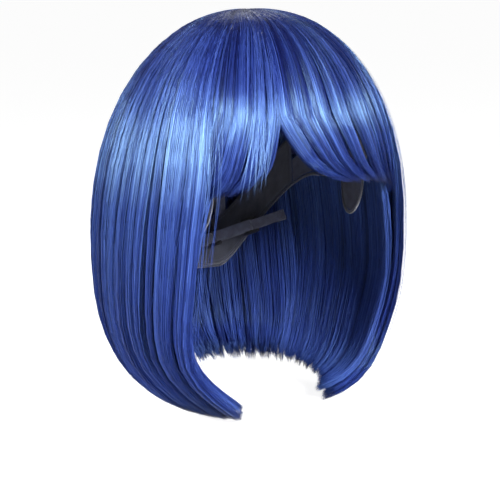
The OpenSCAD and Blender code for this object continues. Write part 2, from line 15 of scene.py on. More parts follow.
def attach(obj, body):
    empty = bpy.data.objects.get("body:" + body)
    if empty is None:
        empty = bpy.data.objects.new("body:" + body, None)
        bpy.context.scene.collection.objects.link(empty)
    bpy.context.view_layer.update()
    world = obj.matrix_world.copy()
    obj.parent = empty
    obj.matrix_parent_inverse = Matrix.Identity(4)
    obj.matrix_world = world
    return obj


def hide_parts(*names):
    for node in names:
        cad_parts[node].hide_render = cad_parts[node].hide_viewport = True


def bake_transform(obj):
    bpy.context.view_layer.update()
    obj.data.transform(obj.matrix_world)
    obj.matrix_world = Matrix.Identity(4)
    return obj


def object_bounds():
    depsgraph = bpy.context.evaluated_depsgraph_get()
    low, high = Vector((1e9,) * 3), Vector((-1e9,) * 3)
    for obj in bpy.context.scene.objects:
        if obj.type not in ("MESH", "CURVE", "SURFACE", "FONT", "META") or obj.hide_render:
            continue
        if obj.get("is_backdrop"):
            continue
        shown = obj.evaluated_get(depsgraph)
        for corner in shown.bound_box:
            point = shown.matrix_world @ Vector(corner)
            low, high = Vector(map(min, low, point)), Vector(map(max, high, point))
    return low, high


bl_info = {
    "name": "Bob Wig Maker",
    "version": (1, 0, 0),
    "blender": (4, 5, 0),
    "location": "3D View > Sidebar > Wig",
    "description": "Builds a bob-cut wig: sewn cap, elastic adjusters and hair laid in strands",
    "category": "Object",
}

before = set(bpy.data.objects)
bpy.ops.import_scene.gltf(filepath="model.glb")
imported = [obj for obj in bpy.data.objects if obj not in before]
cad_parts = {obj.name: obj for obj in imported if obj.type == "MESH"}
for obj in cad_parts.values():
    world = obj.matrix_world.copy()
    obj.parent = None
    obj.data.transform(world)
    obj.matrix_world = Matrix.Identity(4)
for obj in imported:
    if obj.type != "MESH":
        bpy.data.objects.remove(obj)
CAD_LOW, CAD_HIGH = (Vector(corner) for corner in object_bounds())

WIG = "wig"
SIDES = {"left": 1, "right": -1}
MM = 0.001


# ---- Settings ----


class HeadSettings(bpy.types.PropertyGroup):
    """The head that the cap is sewn to fit."""

    half_width: bpy.props.FloatProperty(
        name="Half width", description="Half of the head's width", default=0.076, unit="LENGTH"
    )
    half_length: bpy.props.FloatProperty(
        name="Half length",
        description="Half of the head's length, forehead to back",
        default=0.097,
        unit="LENGTH",
    )
    crown_height: bpy.props.FloatProperty(
        name="Crown height",
        description="Height of the crown above the head's widest level",
        default=0.106,
        unit="LENGTH",
    )
    front_edge: bpy.props.FloatProperty(
        name="Hairline level",
        description="Level of the cap's edge at the forehead",
        default=0.056,
        unit="LENGTH",
    )
    ear_edge: bpy.props.FloatProperty(
        name="Ear level", description="Level of the cap's edge over the ears", default=0.004,
        unit="LENGTH",
    )
    nape_edge: bpy.props.FloatProperty(
        name="Nape level", description="Level of the cap's edge at the nape", default=-0.066,
        unit="LENGTH",
    )


class CutSettings(bpy.types.PropertyGroup):
    """The outline that the hair is cut and set to."""

    half_width: bpy.props.FloatProperty(
        name="Half width", description="Half of the hair's width", default=CAD_HIGH.x,
        unit="LENGTH",
    )
    front_reach: bpy.props.FloatProperty(
        name="Front reach", description="The hair's reach to the front", default=-CAD_LOW.y,
        unit="LENGTH",
    )
    back_reach: bpy.props.FloatProperty(
        name="Back reach", description="The hair's reach to the back", default=CAD_HIGH.y,
        unit="LENGTH",
    )
    top_level: bpy.props.FloatProperty(
        name="Top level", description="Level of the top of the hair", default=CAD_HIGH.z,
        unit="LENGTH",
    )
    widest_level: bpy.props.FloatProperty(
        name="Widest level", description="Level where the hair is widest", default=-0.040,
        unit="LENGTH",
    )
    end_level: bpy.props.FloatProperty(
        name="End level", description="Level of the front ends", default=CAD_LOW.z,
        unit="LENGTH",
    )
    end_rise: bpy.props.FloatProperty(
        name="End rise", description="Rise of the ends from front to back", default=0.012,
        unit="LENGTH",
    )
    end_tuck: bpy.props.FloatProperty(
        name="End tuck",
        description="Radius at the ends as a share of the widest radius",
        default=0.42,
        subtype="FACTOR",
    )
    end_squareness: bpy.props.FloatProperty(
        name="End squareness", description="Squareness of the turn of the ends, 2 is an ellipse",
        default=2.6,
    )
    front_squareness: bpy.props.FloatProperty(
        name="Front squareness",
        description="Squareness of the crown at the front, 2 is an ellipse",
        default=2.3,
    )
    back_squareness: bpy.props.FloatProperty(
        name="Back squareness",
        description="Squareness of the crown at the back, 2 is an ellipse",
        default=2.1,
    )
    side_front: bpy.props.FloatProperty(
        name="Side front", description="Azimuth of the side hair's edge by the forehead",
        default=math.radians(55), subtype="ANGLE",
    )
    side_jaw: bpy.props.FloatProperty(
        name="Side jaw", description="Azimuth of the side hair's edge by the jaw",
        default=math.radians(63), subtype="ANGLE",
    )
    side_tip: bpy.props.FloatProperty(
        name="Side tip", description="Azimuth of the side hair's edge at its ends",
        default=math.radians(48), subtype="ANGLE",
    )
    parting: bpy.props.FloatProperty(
        name="Parting", description="Azimuth of the fringe's parting",
        default=math.radians(-28), subtype="ANGLE",
    )
    brow_level: bpy.props.FloatProperty(
        name="Brow level", description="Level of the fringe's ends over the brow", default=0.017,
        unit="LENGTH",
    )
    notch_height: bpy.props.FloatProperty(
        name="Notch height", description="Height of the gap in the fringe at its parting",
        default=0.039, unit="LENGTH",
    )


class FibreSettings(bpy.types.PropertyGroup):
    """The hair fibre and how it is gathered."""

    amount: bpy.props.FloatProperty(
        name="Amount", description="Share of the full number of strands", default=1.0,
        subtype="FACTOR",
    )
    half_width: bpy.props.FloatProperty(
        name="Half width", description="Half of a strand's width across the hair",
        default=0.00026, unit="LENGTH", precision=5,
    )
    flatness: bpy.props.FloatProperty(
        name="Flatness", description="A strand's thickness over its width", default=0.6,
        subtype="FACTOR",
    )
    deep_colour: bpy.props.FloatVectorProperty(
        name="Deep colour", description="The darkest strands", default=(0.010, 0.016, 0.120),
        subtype="COLOR", size=3,
    )
    main_colour: bpy.props.FloatVectorProperty(
        name="Main colour", description="Most of the strands", default=(0.031, 0.065, 0.310),
        subtype="COLOR", size=3,
    )
    light_colour: bpy.props.FloatVectorProperty(
        name="Light colour", description="The lightest strands", default=(0.105, 0.200, 0.590),
        subtype="COLOR", size=3,
    )


class CapSettings(bpy.types.PropertyGroup):
    """The sewn cap under the hair."""

    front_width: bpy.props.FloatProperty(
        name="Front band", description="Height of the band at the forehead", default=0.022,
        unit="LENGTH",
    )
    side_width: bpy.props.FloatProperty(
        name="Side band", description="Height of the bands over the ears", default=0.016,
        unit="LENGTH",
    )
    nape_width: bpy.props.FloatProperty(
        name="Nape band", description="Height of the band at the nape", default=0.034,
        unit="LENGTH",
    )
    tab_length: bpy.props.FloatProperty(
        name="Ear tab", description="Length of an ear tab below the edge", default=0.026,
        unit="LENGTH",
    )
    mesh_size: bpy.props.FloatProperty(
        name="Net mesh", description="Size of one mesh of the crown net", default=0.004,
        unit="LENGTH",
    )
    ribbon_width: bpy.props.FloatProperty(
        name="Ribbon width", description="Width of the elastic ribbons", default=0.009,
        unit="LENGTH",
    )
    strap_width: bpy.props.FloatProperty(
        name="Strap width", description="Width of the adjusters' straps", default=0.008,
        unit="LENGTH",
    )
    cloth_colour: bpy.props.FloatVectorProperty(
        name="Cloth colour", description="Colour of the bands, linings and net",
        default=(0.078, 0.084, 0.130), subtype="COLOR", size=3,
    )
    film_colour: bpy.props.FloatVectorProperty(
        name="Film colour", description="Colour of the film at the crown",
        default=(0.62, 0.40, 0.27), subtype="COLOR", size=3,
    )


class StageSettings(bpy.types.PropertyGroup):
    """The camera and the lights."""

    azimuth: bpy.props.FloatProperty(
        name="Azimuth", description="Where the camera stands round the wig",
        default=math.radians(-40), subtype="ANGLE",
    )
    elevation: bpy.props.FloatProperty(
        name="Elevation", description="The camera's height as an angle",
        default=math.radians(10.3), subtype="ANGLE",
    )
    distance: bpy.props.FloatProperty(
        name="Distance", description="From the camera to the wig", default=1.104, unit="LENGTH"
    )
    aim_level: bpy.props.FloatProperty(
        name="Aim level", description="Level that the camera looks at", default=-0.0445,
        unit="LENGTH",
    )
    lens: bpy.props.FloatProperty(
        name="Lens", description="The camera's focal length in millimetres", default=110.0
    )
    tilt: bpy.props.FloatProperty(
        name="Tilt", description="The camera's lean to the side", default=math.radians(-1.2),
        subtype="ANGLE",
    )
    aim_aside: bpy.props.FloatProperty(
        name="Aim aside", description="How far left of the wig the camera looks", default=0.002,
        unit="LENGTH",
    )


# ---- Form of the head and of the hair ----


def mix(a, b, t):
    """A value between a, at 0, and b, at 1."""
    return a + (b - a) * t


def smooth(t):
    """An even ease from 0 to 1 that stays level outside."""
    t = np.clip(t, 0.0, 1.0)
    return t * t * (3.0 - 2.0 * t)


def sin(degrees):
    """Sine of an angle in degrees."""
    return np.sin(np.radians(degrees))


def cos(degrees):
    """Cosine of an angle in degrees."""
    return np.cos(np.radians(degrees))


def unit(vectors):
    """Vectors with their length brought to 1."""
    return vectors / np.maximum(np.linalg.norm(vectors, axis=-1, keepdims=True), 1e-12)


def points_of(x, y, z):
    """Points from coordinates of any matching shapes."""
    return np.stack(np.broadcast_arrays(x, y, z), axis=-1)


def level_line(fall):
    """A line that keeps one fall angle all the way round."""
    return lambda azimuth: fall + 0 * azimuth


def from_front(azimuth):
    """Azimuth away from the face, 0 to 180, for any azimuth from -180 to 360."""
    return np.where(azimuth > 180, 360 - azimuth, np.abs(azimuth))


class Form:
    """Surfaces of the head and the hair, from the settings."""

    def __init__(self):
        scene = bpy.context.scene
        self.head = scene.wig_head
        self.cut = scene.wig_cut
        cut = self.cut
        self.rise = cut.top_level - cut.widest_level
        power = cut.end_squareness
        self.drop = (cut.widest_level - cut.end_level) / (1 - cut.end_tuck**power) ** (1 / power)
        self.parting = math.degrees(cut.parting)
        self.side_front_angle = math.degrees(cut.side_front)
        self.side_tip_angle = math.degrees(cut.side_tip)

    def cap(self, azimuth, fall, standoff):
        """A place on the cap, at a stand-off from the head."""
        head = self.head
        return points_of(
            (head.half_width + standoff) * sin(fall) * sin(azimuth),
            -(head.half_length + standoff) * sin(fall) * cos(azimuth),
            (head.crown_height + standoff) * cos(fall),
        )

    def fall_of(self, length):
        """A length down the head as an angle of fall."""
        return math.degrees(2 * length / (self.head.half_length + self.head.crown_height))

    def turn_of(self, length, fall):
        """A length round the head as an angle of azimuth, at a fall angle."""
        radius = (self.head.half_width + self.head.half_length) / 2
        return np.degrees(length / (radius * sin(fall)))

    def edge_fall(self, azimuth):
        """Fall angle of the cap's edge."""
        away = from_front(azimuth)
        head = self.head
        front = mix(head.front_edge, head.ear_edge, smooth((away - 22) / 60))
        back = mix(head.ear_edge, head.nape_edge, smooth((away - 98) / 60))
        return np.degrees(np.arccos(np.where(away < 90, front, back) / head.crown_height))

    def squareness(self, azimuth):
        """Squareness of the crown, from the front's to the back's."""
        cut = self.cut
        return mix(
            cut.front_squareness, cut.back_squareness, smooth((from_front(azimuth) - 50) / 80)
        )

    def hair(self, azimuth, fall, depth):
        """A place in the hair, at a depth inside its outline."""
        cut = self.cut
        above = fall < 90
        power = 2 / np.where(above, self.squareness(azimuth), cut.end_squareness)
        turn = np.abs(cos(fall)) ** power
        spread = np.clip(sin(fall), 0, 1) ** power
        reach = np.where(from_front(azimuth) < 90, cut.front_reach, cut.back_reach)
        level = np.where(above, (self.rise - depth) * turn, (depth - self.drop) * turn)
        return points_of(
            (cut.half_width - depth) * spread * sin(azimuth),
            -(reach - depth) * spread * cos(azimuth),
            cut.widest_level + level,
        )

    def layer(self, azimuth, fall, depth, leave):
        """A place in a layer that lies on the cap until its leaving angle and then swings out."""
        power = 2 / self.squareness(azimuth)
        spread = np.clip(sin(fall), 0, 1) ** power
        root_fall = np.where(fall < 90, np.degrees(np.arcsin(np.clip(spread, 0, 1))), fall)
        root = self.cap(azimuth, root_fall, ROOT_STANDOFF)
        away = smooth((fall - leave) / LEAVE_SPAN)[..., None]
        return mix(root, self.hair(azimuth, fall, depth), away)

    def end_fall(self, azimuth):
        """Fall angle of the ends, which rise towards the back."""
        cut = self.cut
        rise = cut.end_rise * smooth((from_front(azimuth) - self.side_tip_angle) / 90)
        drop = cut.widest_level - cut.end_level - rise
        share = np.clip(drop / self.drop, 0, 1) ** (cut.end_squareness / 2)
        return 90 + np.degrees(np.arcsin(share))

    def side_edge(self, fall):
        """Azimuth of the side hair's front edge."""
        cut = self.cut
        upper = mix(cut.side_front, cut.side_jaw, smooth((fall - 65) / 48))
        return np.degrees(mix(upper, cut.side_tip, smooth((fall - 115) / 38)))

    def fringe_fall(self, azimuth):
        """Fall angle of the fringe's ends, with the gap at its parting."""
        cut = self.cut
        right = azimuth < self.parting
        away = np.abs(azimuth - self.parting) / np.where(right, NOTCH_STEEP, NOTCH_SWEEP)
        gap = np.exp(-(away ** np.where(right, 1.1, 1.6)))
        level = cut.brow_level - FRINGE_DROOP * (azimuth - FRINGE_MIDDLE) ** 2
        level = level + cut.notch_height * gap
        share = np.clip((level - cut.widest_level) / self.rise, 0, 1)
        return np.degrees(np.arccos(share ** (self.squareness(azimuth) / 2)))


# Stand-offs of the cap's layers from the head, inner face and outer face.
LINING = (0.2 * MM, 0.9 * MM)
BAND = (1.2 * MM, 2.0 * MM)
NET = (2.6 * MM, 3.0 * MM)
RIBBON = (3.3 * MM, 4.0 * MM)
WEFT = (4.3 * MM, 5.7 * MM)
SKIN = (3.6 * MM, 4.4 * MM)
STAY = (2.3 * MM, 3.1 * MM)

# Inner layers of hair leave the cap gradually, over this much of their fall.
ROOT_STANDOFF = WEFT[1] + 0.5 * MM
LEAVE_SPAN = 36

# The gap at the parting, in degrees to its right and left, and the arch of the fringe's ends.
NOTCH_STEEP = 5.5
NOTCH_SWEEP = 12
FRINGE_MIDDLE = -12
FRINGE_DROOP = 0.0045 * MM


# ---- Meshes ----


# The cloth map is in metres. The fibre map has a column for each tone and runs down the hair.
CLOTH_MAP = "Cloth"
FIBRE_MAP = "OFBake"
FIBRE_COLUMNS = 96


def fill_mesh(mesh, points, quads, triangles=(), uvs=None, uv_name=CLOTH_MAP):
    """Fills a mesh from arrays. uvs holds one pair for each corner, quads first."""
    quads = np.asarray(quads, dtype=np.int32).reshape(-1, 4)
    triangles = np.asarray(triangles, dtype=np.int32).reshape(-1, 3)
    corners = np.concatenate([quads.ravel(), triangles.ravel()])
    starts = np.concatenate([
        np.arange(len(quads)) * 4, len(quads) * 4 + np.arange(len(triangles)) * 3
    ])
    mesh.vertices.add(len(points))
    mesh.vertices.foreach_set("co", np.ascontiguousarray(points, dtype=np.float32).ravel())
    mesh.loops.add(len(corners))
    mesh.loops.foreach_set("vertex_index", corners.astype(np.int32))
    mesh.polygons.add(len(starts))
    mesh.polygons.foreach_set("loop_start", starts.astype(np.int32))
    mesh.polygons.foreach_set("use_smooth", np.ones(len(starts), dtype=bool))
    if uvs is not None:
        layer = mesh.uv_layers.new(name=uv_name)
        layer.data.foreach_set("uv", np.ascontiguousarray(uvs, dtype=np.float32).ravel())
    mesh.update(calc_edges=True)
    mesh.validate()


def add_piece(name, points, quads, triangles, uvs, material, slot, replaces=(), body=WIG,
              uv_name=CLOTH_MAP, crisp=None):
    """Adds a piece that rides on a body and stands for CAD nodes.

    crisp is the angle in degrees from which an edge stays sharp.
    """
    mesh = bpy.data.meshes.new(name)
    fill_mesh(mesh, points, quads, triangles, uvs, uv_name)
    if crisp is not None:
        mesh.set_sharp_from_angle(angle=math.radians(crisp))
    piece = bpy.data.objects.new(name, mesh)
    bpy.context.scene.collection.objects.link(piece)
    mesh.materials.append(material)
    if body:
        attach(piece, body)
    if replaces:
        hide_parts(*replaces)
    return piece


def tubes(paths, radii, tones, levels, outward, sides=3, flatness=1.0):
    """Closed tubes along paths of shape (tubes, points, 3).

    Returns points, quads, triangles and uvs. Each tube takes the column of the fibre map that its
    tone names, and runs down it through the levels, from 1 at the crown to 0 at the ends.
    """
    count, steps, _ = paths.shape
    along = unit(np.gradient(paths, axis=1))
    across = unit(np.cross(along, outward))
    lift = np.cross(across, along)
    turn = 2 * np.pi * (np.arange(sides) + 0.25) / sides
    ring = (
        np.cos(turn)[None, None, :, None] * across[:, :, None]
        + flatness * np.sin(turn)[None, None, :, None] * lift[:, :, None]
    )
    points = paths[:, :, None] + ring * radii[:, :, None, None]
    at = np.arange(count * steps * sides).reshape(count, steps, sides)
    nxt = np.roll(at, -1, axis=2)
    quads = np.stack([at[:, :-1], nxt[:, :-1], nxt[:, 1:], at[:, 1:]], axis=-1)
    column = np.floor(np.clip(tones, 0, 0.999) * FIBRE_COLUMNS) / FIBRE_COLUMNS
    left = (column + 0.15 / FIBRE_COLUMNS)[:, None, None]
    right = (column + 0.85 / FIBRE_COLUMNS)[:, None, None]
    down = np.broadcast_to(np.clip(levels, 0.02, 0.98), (count, steps))
    shape = (count, steps - 1, sides)
    upper = np.broadcast_to(down[:, :-1, None], shape)
    lower = np.broadcast_to(down[:, 1:, None], shape)
    left, right = np.broadcast_to(left, shape), np.broadcast_to(right, shape)
    quad_uvs = np.stack([
        np.stack([left, upper], -1), np.stack([right, upper], -1),
        np.stack([right, lower], -1), np.stack([left, lower], -1),
    ], axis=-2)
    fan = np.arange(1, sides - 1)
    caps, cap_uvs = [], []
    for row, order in ((0, (0, 1, 2)), (-1, (0, 2, 1))):
        ends, level = at[:, row], down[:, row]
        tri = np.stack([
            np.broadcast_to(ends[:, :1], (count, len(fan))), ends[:, fan + 1], ends[:, fan]
        ], axis=-1)[..., list(order)]
        near = level + (0.01 if row == 0 else -0.01)
        spot = np.stack([
            np.stack([left[:, 0, 0], level], -1),
            np.stack([right[:, 0, 0], level], -1),
            np.stack([right[:, 0, 0], near], -1),
        ], axis=1)
        caps.append(tri.reshape(-1, 3))
        cap_uvs.append(np.repeat(spot[:, None], len(fan), axis=1).reshape(-1, 2))
    return (
        points.reshape(-1, 3), quads.reshape(-1, 4), np.concatenate(caps),
        np.concatenate([quad_uvs.reshape(-1, 2)] + cap_uvs),
    )


# ---- Materials ----


def new_material(name):
    """A new material with its nodes, links and shader."""
    material = bpy.data.materials.new(name)
    material.use_nodes = True
    nodes = material.node_tree.nodes
    return material, nodes, material.node_tree.links, nodes["Principled BSDF"]


def ramp(nodes, stops):
    """A colour ramp through (place, colour) stops."""
    node = nodes.new("ShaderNodeValToRGB")
    elements = node.color_ramp.elements
    for index, (place, colour) in enumerate(stops):
        element = elements[index] if index < 2 else elements.new(place)
        element.position = place
        element.color = (*colour, 1.0)
    return node


def shaded(colour, share):
    """A colour darkened or lightened by a share."""
    return tuple(channel * share for channel in colour)


# Down the hair from its ends, 0, to the crown, 1: painted light and shade in the colour, from pale
# ends through a painted highlight, a bright band of sheen, to painted shade at the crown; the gloss
# is strongest in the same band.
LENGTH_PAINTED_LIGHT_AND_SHADE = (
    (0.0, (1.8, 1.9, 1.6)), (0.05, (1.0, 1.0, 1.0)), (0.22, (0.44, 0.42, 0.62)),
    (0.43, (0.50, 0.50, 0.66)), (0.52, (0.74, 0.74, 0.80)), (0.59, (2.3, 2.1, 1.3)),
    (0.66, (0.84, 0.84, 0.88)), (0.74, (0.42, 0.40, 0.54)), (1.0, (0.13, 0.13, 0.18)),
)
LENGTH_GLOSS = (
    (0.0, 0.3), (0.35, 0.35), (0.49, 0.55), (0.56, 0.95), (0.63, 0.9), (0.71, 0.3), (1.0, 0.15),
)
STREAK_STRETCH = (260.0, 1.6, 1.0)
FIBRE_IOR = 1.7
GLOSS_TINT = (0.42, 0.72, 1.0, 1.0)


def multiplied(nodes, links, colour, tint):
    """A colour socket times a tint socket."""
    node = nodes.new("ShaderNodeMix")
    node.data_type = "RGBA"
    node.blend_type = "MULTIPLY"
    node.inputs["Factor"].default_value = 1.0
    links.new(colour, node.inputs["A"])
    links.new(tint, node.inputs["B"])
    return node.outputs["Result"]


def fibre_material(name, deep, main, light, roughness):
    """Synthetic fibre: each strand has its own tone and streaks, and all share a painted sheen
    highlight and painted shade down their length.
    """
    material, nodes, links, shader = new_material(name)
    uv = nodes.new("ShaderNodeUVMap")
    uv.uv_map = FIBRE_MAP
    split = nodes.new("ShaderNodeSeparateXYZ")
    links.new(uv.outputs["UV"], split.inputs[0])
    tone = ramp(nodes, [(0.08, deep), (0.5, main), (0.92, light)])
    links.new(split.outputs["X"], tone.inputs["Fac"])
    streak = nodes.new("ShaderNodeTexNoise")
    stretch = nodes.new("ShaderNodeMapping")
    stretch.inputs["Scale"].default_value = STREAK_STRETCH
    links.new(uv.outputs["UV"], stretch.inputs["Vector"])
    links.new(stretch.outputs["Vector"], streak.inputs["Vector"])
    streak.inputs["Detail"].default_value = 1.0
    streak_level = nodes.new("ShaderNodeMapRange")
    streak_level.inputs["To Min"].default_value = 0.7
    streak_level.inputs["To Max"].default_value = 1.3
    links.new(streak.outputs["Fac"], streak_level.inputs["Value"])
    # Painted light and shade down the hair: a painted sheen highlight band and painted shade at the
    # crown.
    length = ramp(nodes, LENGTH_PAINTED_LIGHT_AND_SHADE)
    links.new(split.outputs["Y"], length.inputs["Fac"])
    streaked = multiplied(nodes, links, tone.outputs["Color"], streak_level.outputs["Result"])
    painted_light_colour = multiplied(nodes, links, streaked, length.outputs["Color"])
    links.new(painted_light_colour, shader.inputs["Base Color"])
    gloss = ramp(nodes, [(place, (level,) * 3) for place, level in LENGTH_GLOSS])
    links.new(split.outputs["Y"], gloss.inputs["Fac"])
    links.new(gloss.outputs["Color"], shader.inputs["Specular IOR Level"])
    shader.inputs["Specular Tint"].default_value = GLOSS_TINT
    shader.inputs["Roughness"].default_value = roughness
    shader.inputs["IOR"].default_value = FIBRE_IOR
    return material


def floor_material():
    """A floor that looks white and takes soft shadows, but throws little light back up."""
    material, nodes, links, shader = new_material("Floor")
    shader.inputs["Base Color"].default_value = (0.35, 0.35, 0.35, 1)
    shader.inputs["Roughness"].default_value = 0.8
    shader.inputs["Specular IOR Level"].default_value = 0.0
    path = nodes.new("ShaderNodeLightPath")
    glow = nodes.new("ShaderNodeMapRange")
    glow.inputs["To Max"].default_value = 0.90
    links.new(path.outputs["Is Camera Ray"], glow.inputs["Value"])
    links.new(glow.outputs["Result"], shader.inputs["Emission Strength"])
    shader.inputs["Emission Color"].default_value = (1, 1, 1, 1)
    return material


def make_hair_material():
    """The outer hair."""
    fibre = bpy.context.scene.wig_fibre
    return fibre_material(
        "Hair", fibre.deep_colour, fibre.main_colour, fibre.light_colour, 0.31)


def make_under_hair_material():
    """The inner layers of hair, rougher, with the deep and light tones darkened as painted shade.
    """
    fibre = bpy.context.scene.wig_fibre
    return fibre_material(
        "Under hair", shaded(fibre.deep_colour, 0.95), shaded(fibre.main_colour, 1.0),
        shaded(fibre.light_colour, 0.8), 0.5)


def mixed(nodes, links, factor, dark, light):
    """A colour between two, by a factor socket."""
    node = nodes.new("ShaderNodeMix")
    node.data_type = "RGBA"
    links.new(factor, node.inputs["Factor"])
    node.inputs["A"].default_value = (*dark, 1)
    node.inputs["B"].default_value = (*light, 1)
    return node.outputs["Result"]


def bumped(nodes, links, shader, height, distance, strength=0.6):
    """Raises a shader's surface by a height socket."""
    bump = nodes.new("ShaderNodeBump")
    bump.inputs["Strength"].default_value = strength
    bump.inputs["Distance"].default_value = distance
    links.new(height, bump.inputs["Height"])
    links.new(bump.outputs["Normal"], shader.inputs["Normal"])


def cloth_material(name, dark, light, threads, roughness=0.85, sheen=0.2):
    """Woven cloth. threads is the number of threads to a metre."""
    material, nodes, links, shader = new_material(name)
    uv = nodes.new("ShaderNodeUVMap")
    uv.uv_map = CLOTH_MAP
    waves = []
    for direction in ("X", "Y"):
        wave = nodes.new("ShaderNodeTexWave")
        wave.bands_direction = direction
        wave.inputs["Scale"].default_value = threads * 0.31
        wave.inputs["Distortion"].default_value = 1.5
        wave.inputs["Detail Scale"].default_value = 2.0
        links.new(uv.outputs["UV"], wave.inputs["Vector"])
        waves.append(wave)
    weave = nodes.new("ShaderNodeMath")
    weave.operation = "MULTIPLY"
    links.new(waves[0].outputs["Fac"], weave.inputs[0])
    links.new(waves[1].outputs["Fac"], weave.inputs[1])
    mottle = nodes.new("ShaderNodeTexNoise")
    mottle.inputs["Scale"].default_value = 140.0
    mottle.inputs["Detail"].default_value = 3.0
    links.new(uv.outputs["UV"], mottle.inputs["Vector"])
    both = nodes.new("ShaderNodeMath")
    both.operation = "MULTIPLY_ADD"
    links.new(weave.outputs[0], both.inputs[0])
    both.inputs[1].default_value = 0.7
    links.new(mottle.outputs["Fac"], both.inputs[2])
    level = nodes.new("ShaderNodeMapRange")
    level.inputs["From Min"].default_value = 0.35
    level.inputs["From Max"].default_value = 1.1
    links.new(both.outputs[0], level.inputs["Value"])
    links.new(mixed(nodes, links, level.outputs[0], dark, light), shader.inputs["Base Color"])
    bumped(nodes, links, shader, weave.outputs[0], 0.0003)
    shader.inputs["Roughness"].default_value = roughness
    shader.inputs["Sheen Weight"].default_value = sheen
    return material


def solid_material(name, dark, light, scale, stretch=(1, 1, 1), roughness=0.4, metallic=0.0):
    """A moulded or rolled surface with faint cloudy or brushed marks."""
    material, nodes, links, shader = new_material(name)
    place = nodes.new("ShaderNodeTexCoord")
    mapping = nodes.new("ShaderNodeMapping")
    mapping.inputs["Scale"].default_value = stretch
    links.new(place.outputs["Object"], mapping.inputs["Vector"])
    noise = nodes.new("ShaderNodeTexNoise")
    noise.inputs["Scale"].default_value = scale
    noise.inputs["Detail"].default_value = 4.0
    links.new(mapping.outputs["Vector"], noise.inputs["Vector"])
    links.new(mixed(nodes, links, noise.outputs["Fac"], dark, light), shader.inputs["Base Color"])
    bumped(nodes, links, shader, noise.outputs["Fac"], 0.0002, 0.4)
    shader.inputs["Roughness"].default_value = roughness
    shader.inputs["Metallic"].default_value = metallic
    return material


def cap_cloth(name, share, threads, roughness=0.85, sheen=0.25):
    """Cloth of the cap, in a share of its colour."""
    colour = bpy.context.scene.wig_cap.cloth_colour
    return cloth_material(
        name, shaded(colour, share * 0.55), shaded(colour, share * 1.5), threads, roughness,
        sheen)


def make_header_material():
    """The wefts' sewn headers."""
    fibre = bpy.context.scene.wig_fibre
    return cloth_material("Weft header", fibre.deep_colour, fibre.main_colour, 1400, 0.6)


def make_thread_material():
    """Sewing thread, paler than the cloth."""
    colour = bpy.context.scene.wig_cap.cloth_colour
    return fibre_material(
        "Thread", shaded(colour, 1.5), shaded(colour, 2.4), shaded(colour, 3.2), 0.6)


def make_skin_material():
    """The film at the crown."""
    colour = bpy.context.scene.wig_cap.film_colour
    return cloth_material("Scalp film", shaded(colour, 0.72), colour, 900, 0.5, 0.0)


def make_label_material():
    """White satin."""
    return cloth_material("Satin", (0.62, 0.62, 0.60), (0.86, 0.86, 0.83), 2600, 0.35, 0.1)


def make_plastic_material():
    """Black plastic of the rings and sliders."""
    return solid_material("Moulded plastic", (0.012, 0.012, 0.016), (0.03, 0.03, 0.036), 700)


def make_stay_material():
    """Brushed aluminium of the bendable strips."""
    return solid_material(
        "Aluminium", (0.42, 0.43, 0.45), (0.62, 0.63, 0.65), 500, (1, 1, 0.06), 0.32, 1.0)


MATERIAL_MAKERS = {
    "hair": make_hair_material,
    "under_hair": make_under_hair_material,
    "band": lambda: cap_cloth("Band cloth", 1.0, 1500),
    "velvet": lambda: cap_cloth("Velvet", 0.6, 3200, 0.95, 0.6),
    "net": lambda: cap_cloth("Net", 0.9, 2600, 0.7),
    "ribbon": lambda: cap_cloth("Elastic", 1.5, 1900, 0.75),
    "weft": make_header_material,
    "thread": make_thread_material,
    "skin": make_skin_material,
    "label": make_label_material,
    "adjuster": make_plastic_material,
    "stay": make_stay_material,
}
_materials = {}


def material_for(key):
    """The finished material of a name, made once."""
    if key not in _materials:
        _materials[key] = MATERIAL_MAKERS[key]()
    return _materials[key]


# ---- Cap ----


# How far the pieces lap over each other.
SEAM_GAP = 0.5 * MM
NET_LAP = 5 * MM
RIBBON_LAP = 8 * MM

# Where the pieces lie: azimuths, and the fall angles of the net's edge at the back and of the film.
FRONT_BAND_END = 62
NAPE_BAND_START = 112
TAB_AZIMUTH = 73
TAB_HALF_SPAN = 9
RIBBON_AZIMUTHS = {"back": 150, "side": 122, "ear": 94}
NET_BACK_FALL = 60
FILM_HOLE = 0.4
FILM_REACH = 27

# The net's solid edge and the gap from that edge's foot to the meshes.
NET_EDGE = 6 * MM
NET_INSET = 3.4 * MM

# Ribs across a ribbon, width of the strips in the ear tabs, bindings, seams and stitches.
RIBBON_RIBS = 9
STAY_WIDTH = 5 * MM
BINDING_HEIGHT = 2.4 * MM
LINING_INSET = 1.5 * MM
SEAM_INSET = 1.6 * MM
BINDING_SEAM = SEAM_GAP + 1.2 * MM
STITCH_LIFT = 0.06 * MM

# The rows of wefts: fall angles of the fringe's two and of the first round the back, the step
# between those and how many there are.
FRINGE_WEFTS = {"fringe_weft_upper": 35, "fringe_weft_lower": 44}
FIRST_WEFT = 44
WEFT_STEP = 9
WEFT_COUNT = 9
WEFT_HEIGHT = 3.2 * MM
WEFT_CLEARANCE = 0.6 * MM

# A weft's header swells where each bundle of hair is sewn in, on the head's mean radius.
BUNDLE_WIDTH = 2.0 * MM
MEAN_RADIUS = 86 * MM


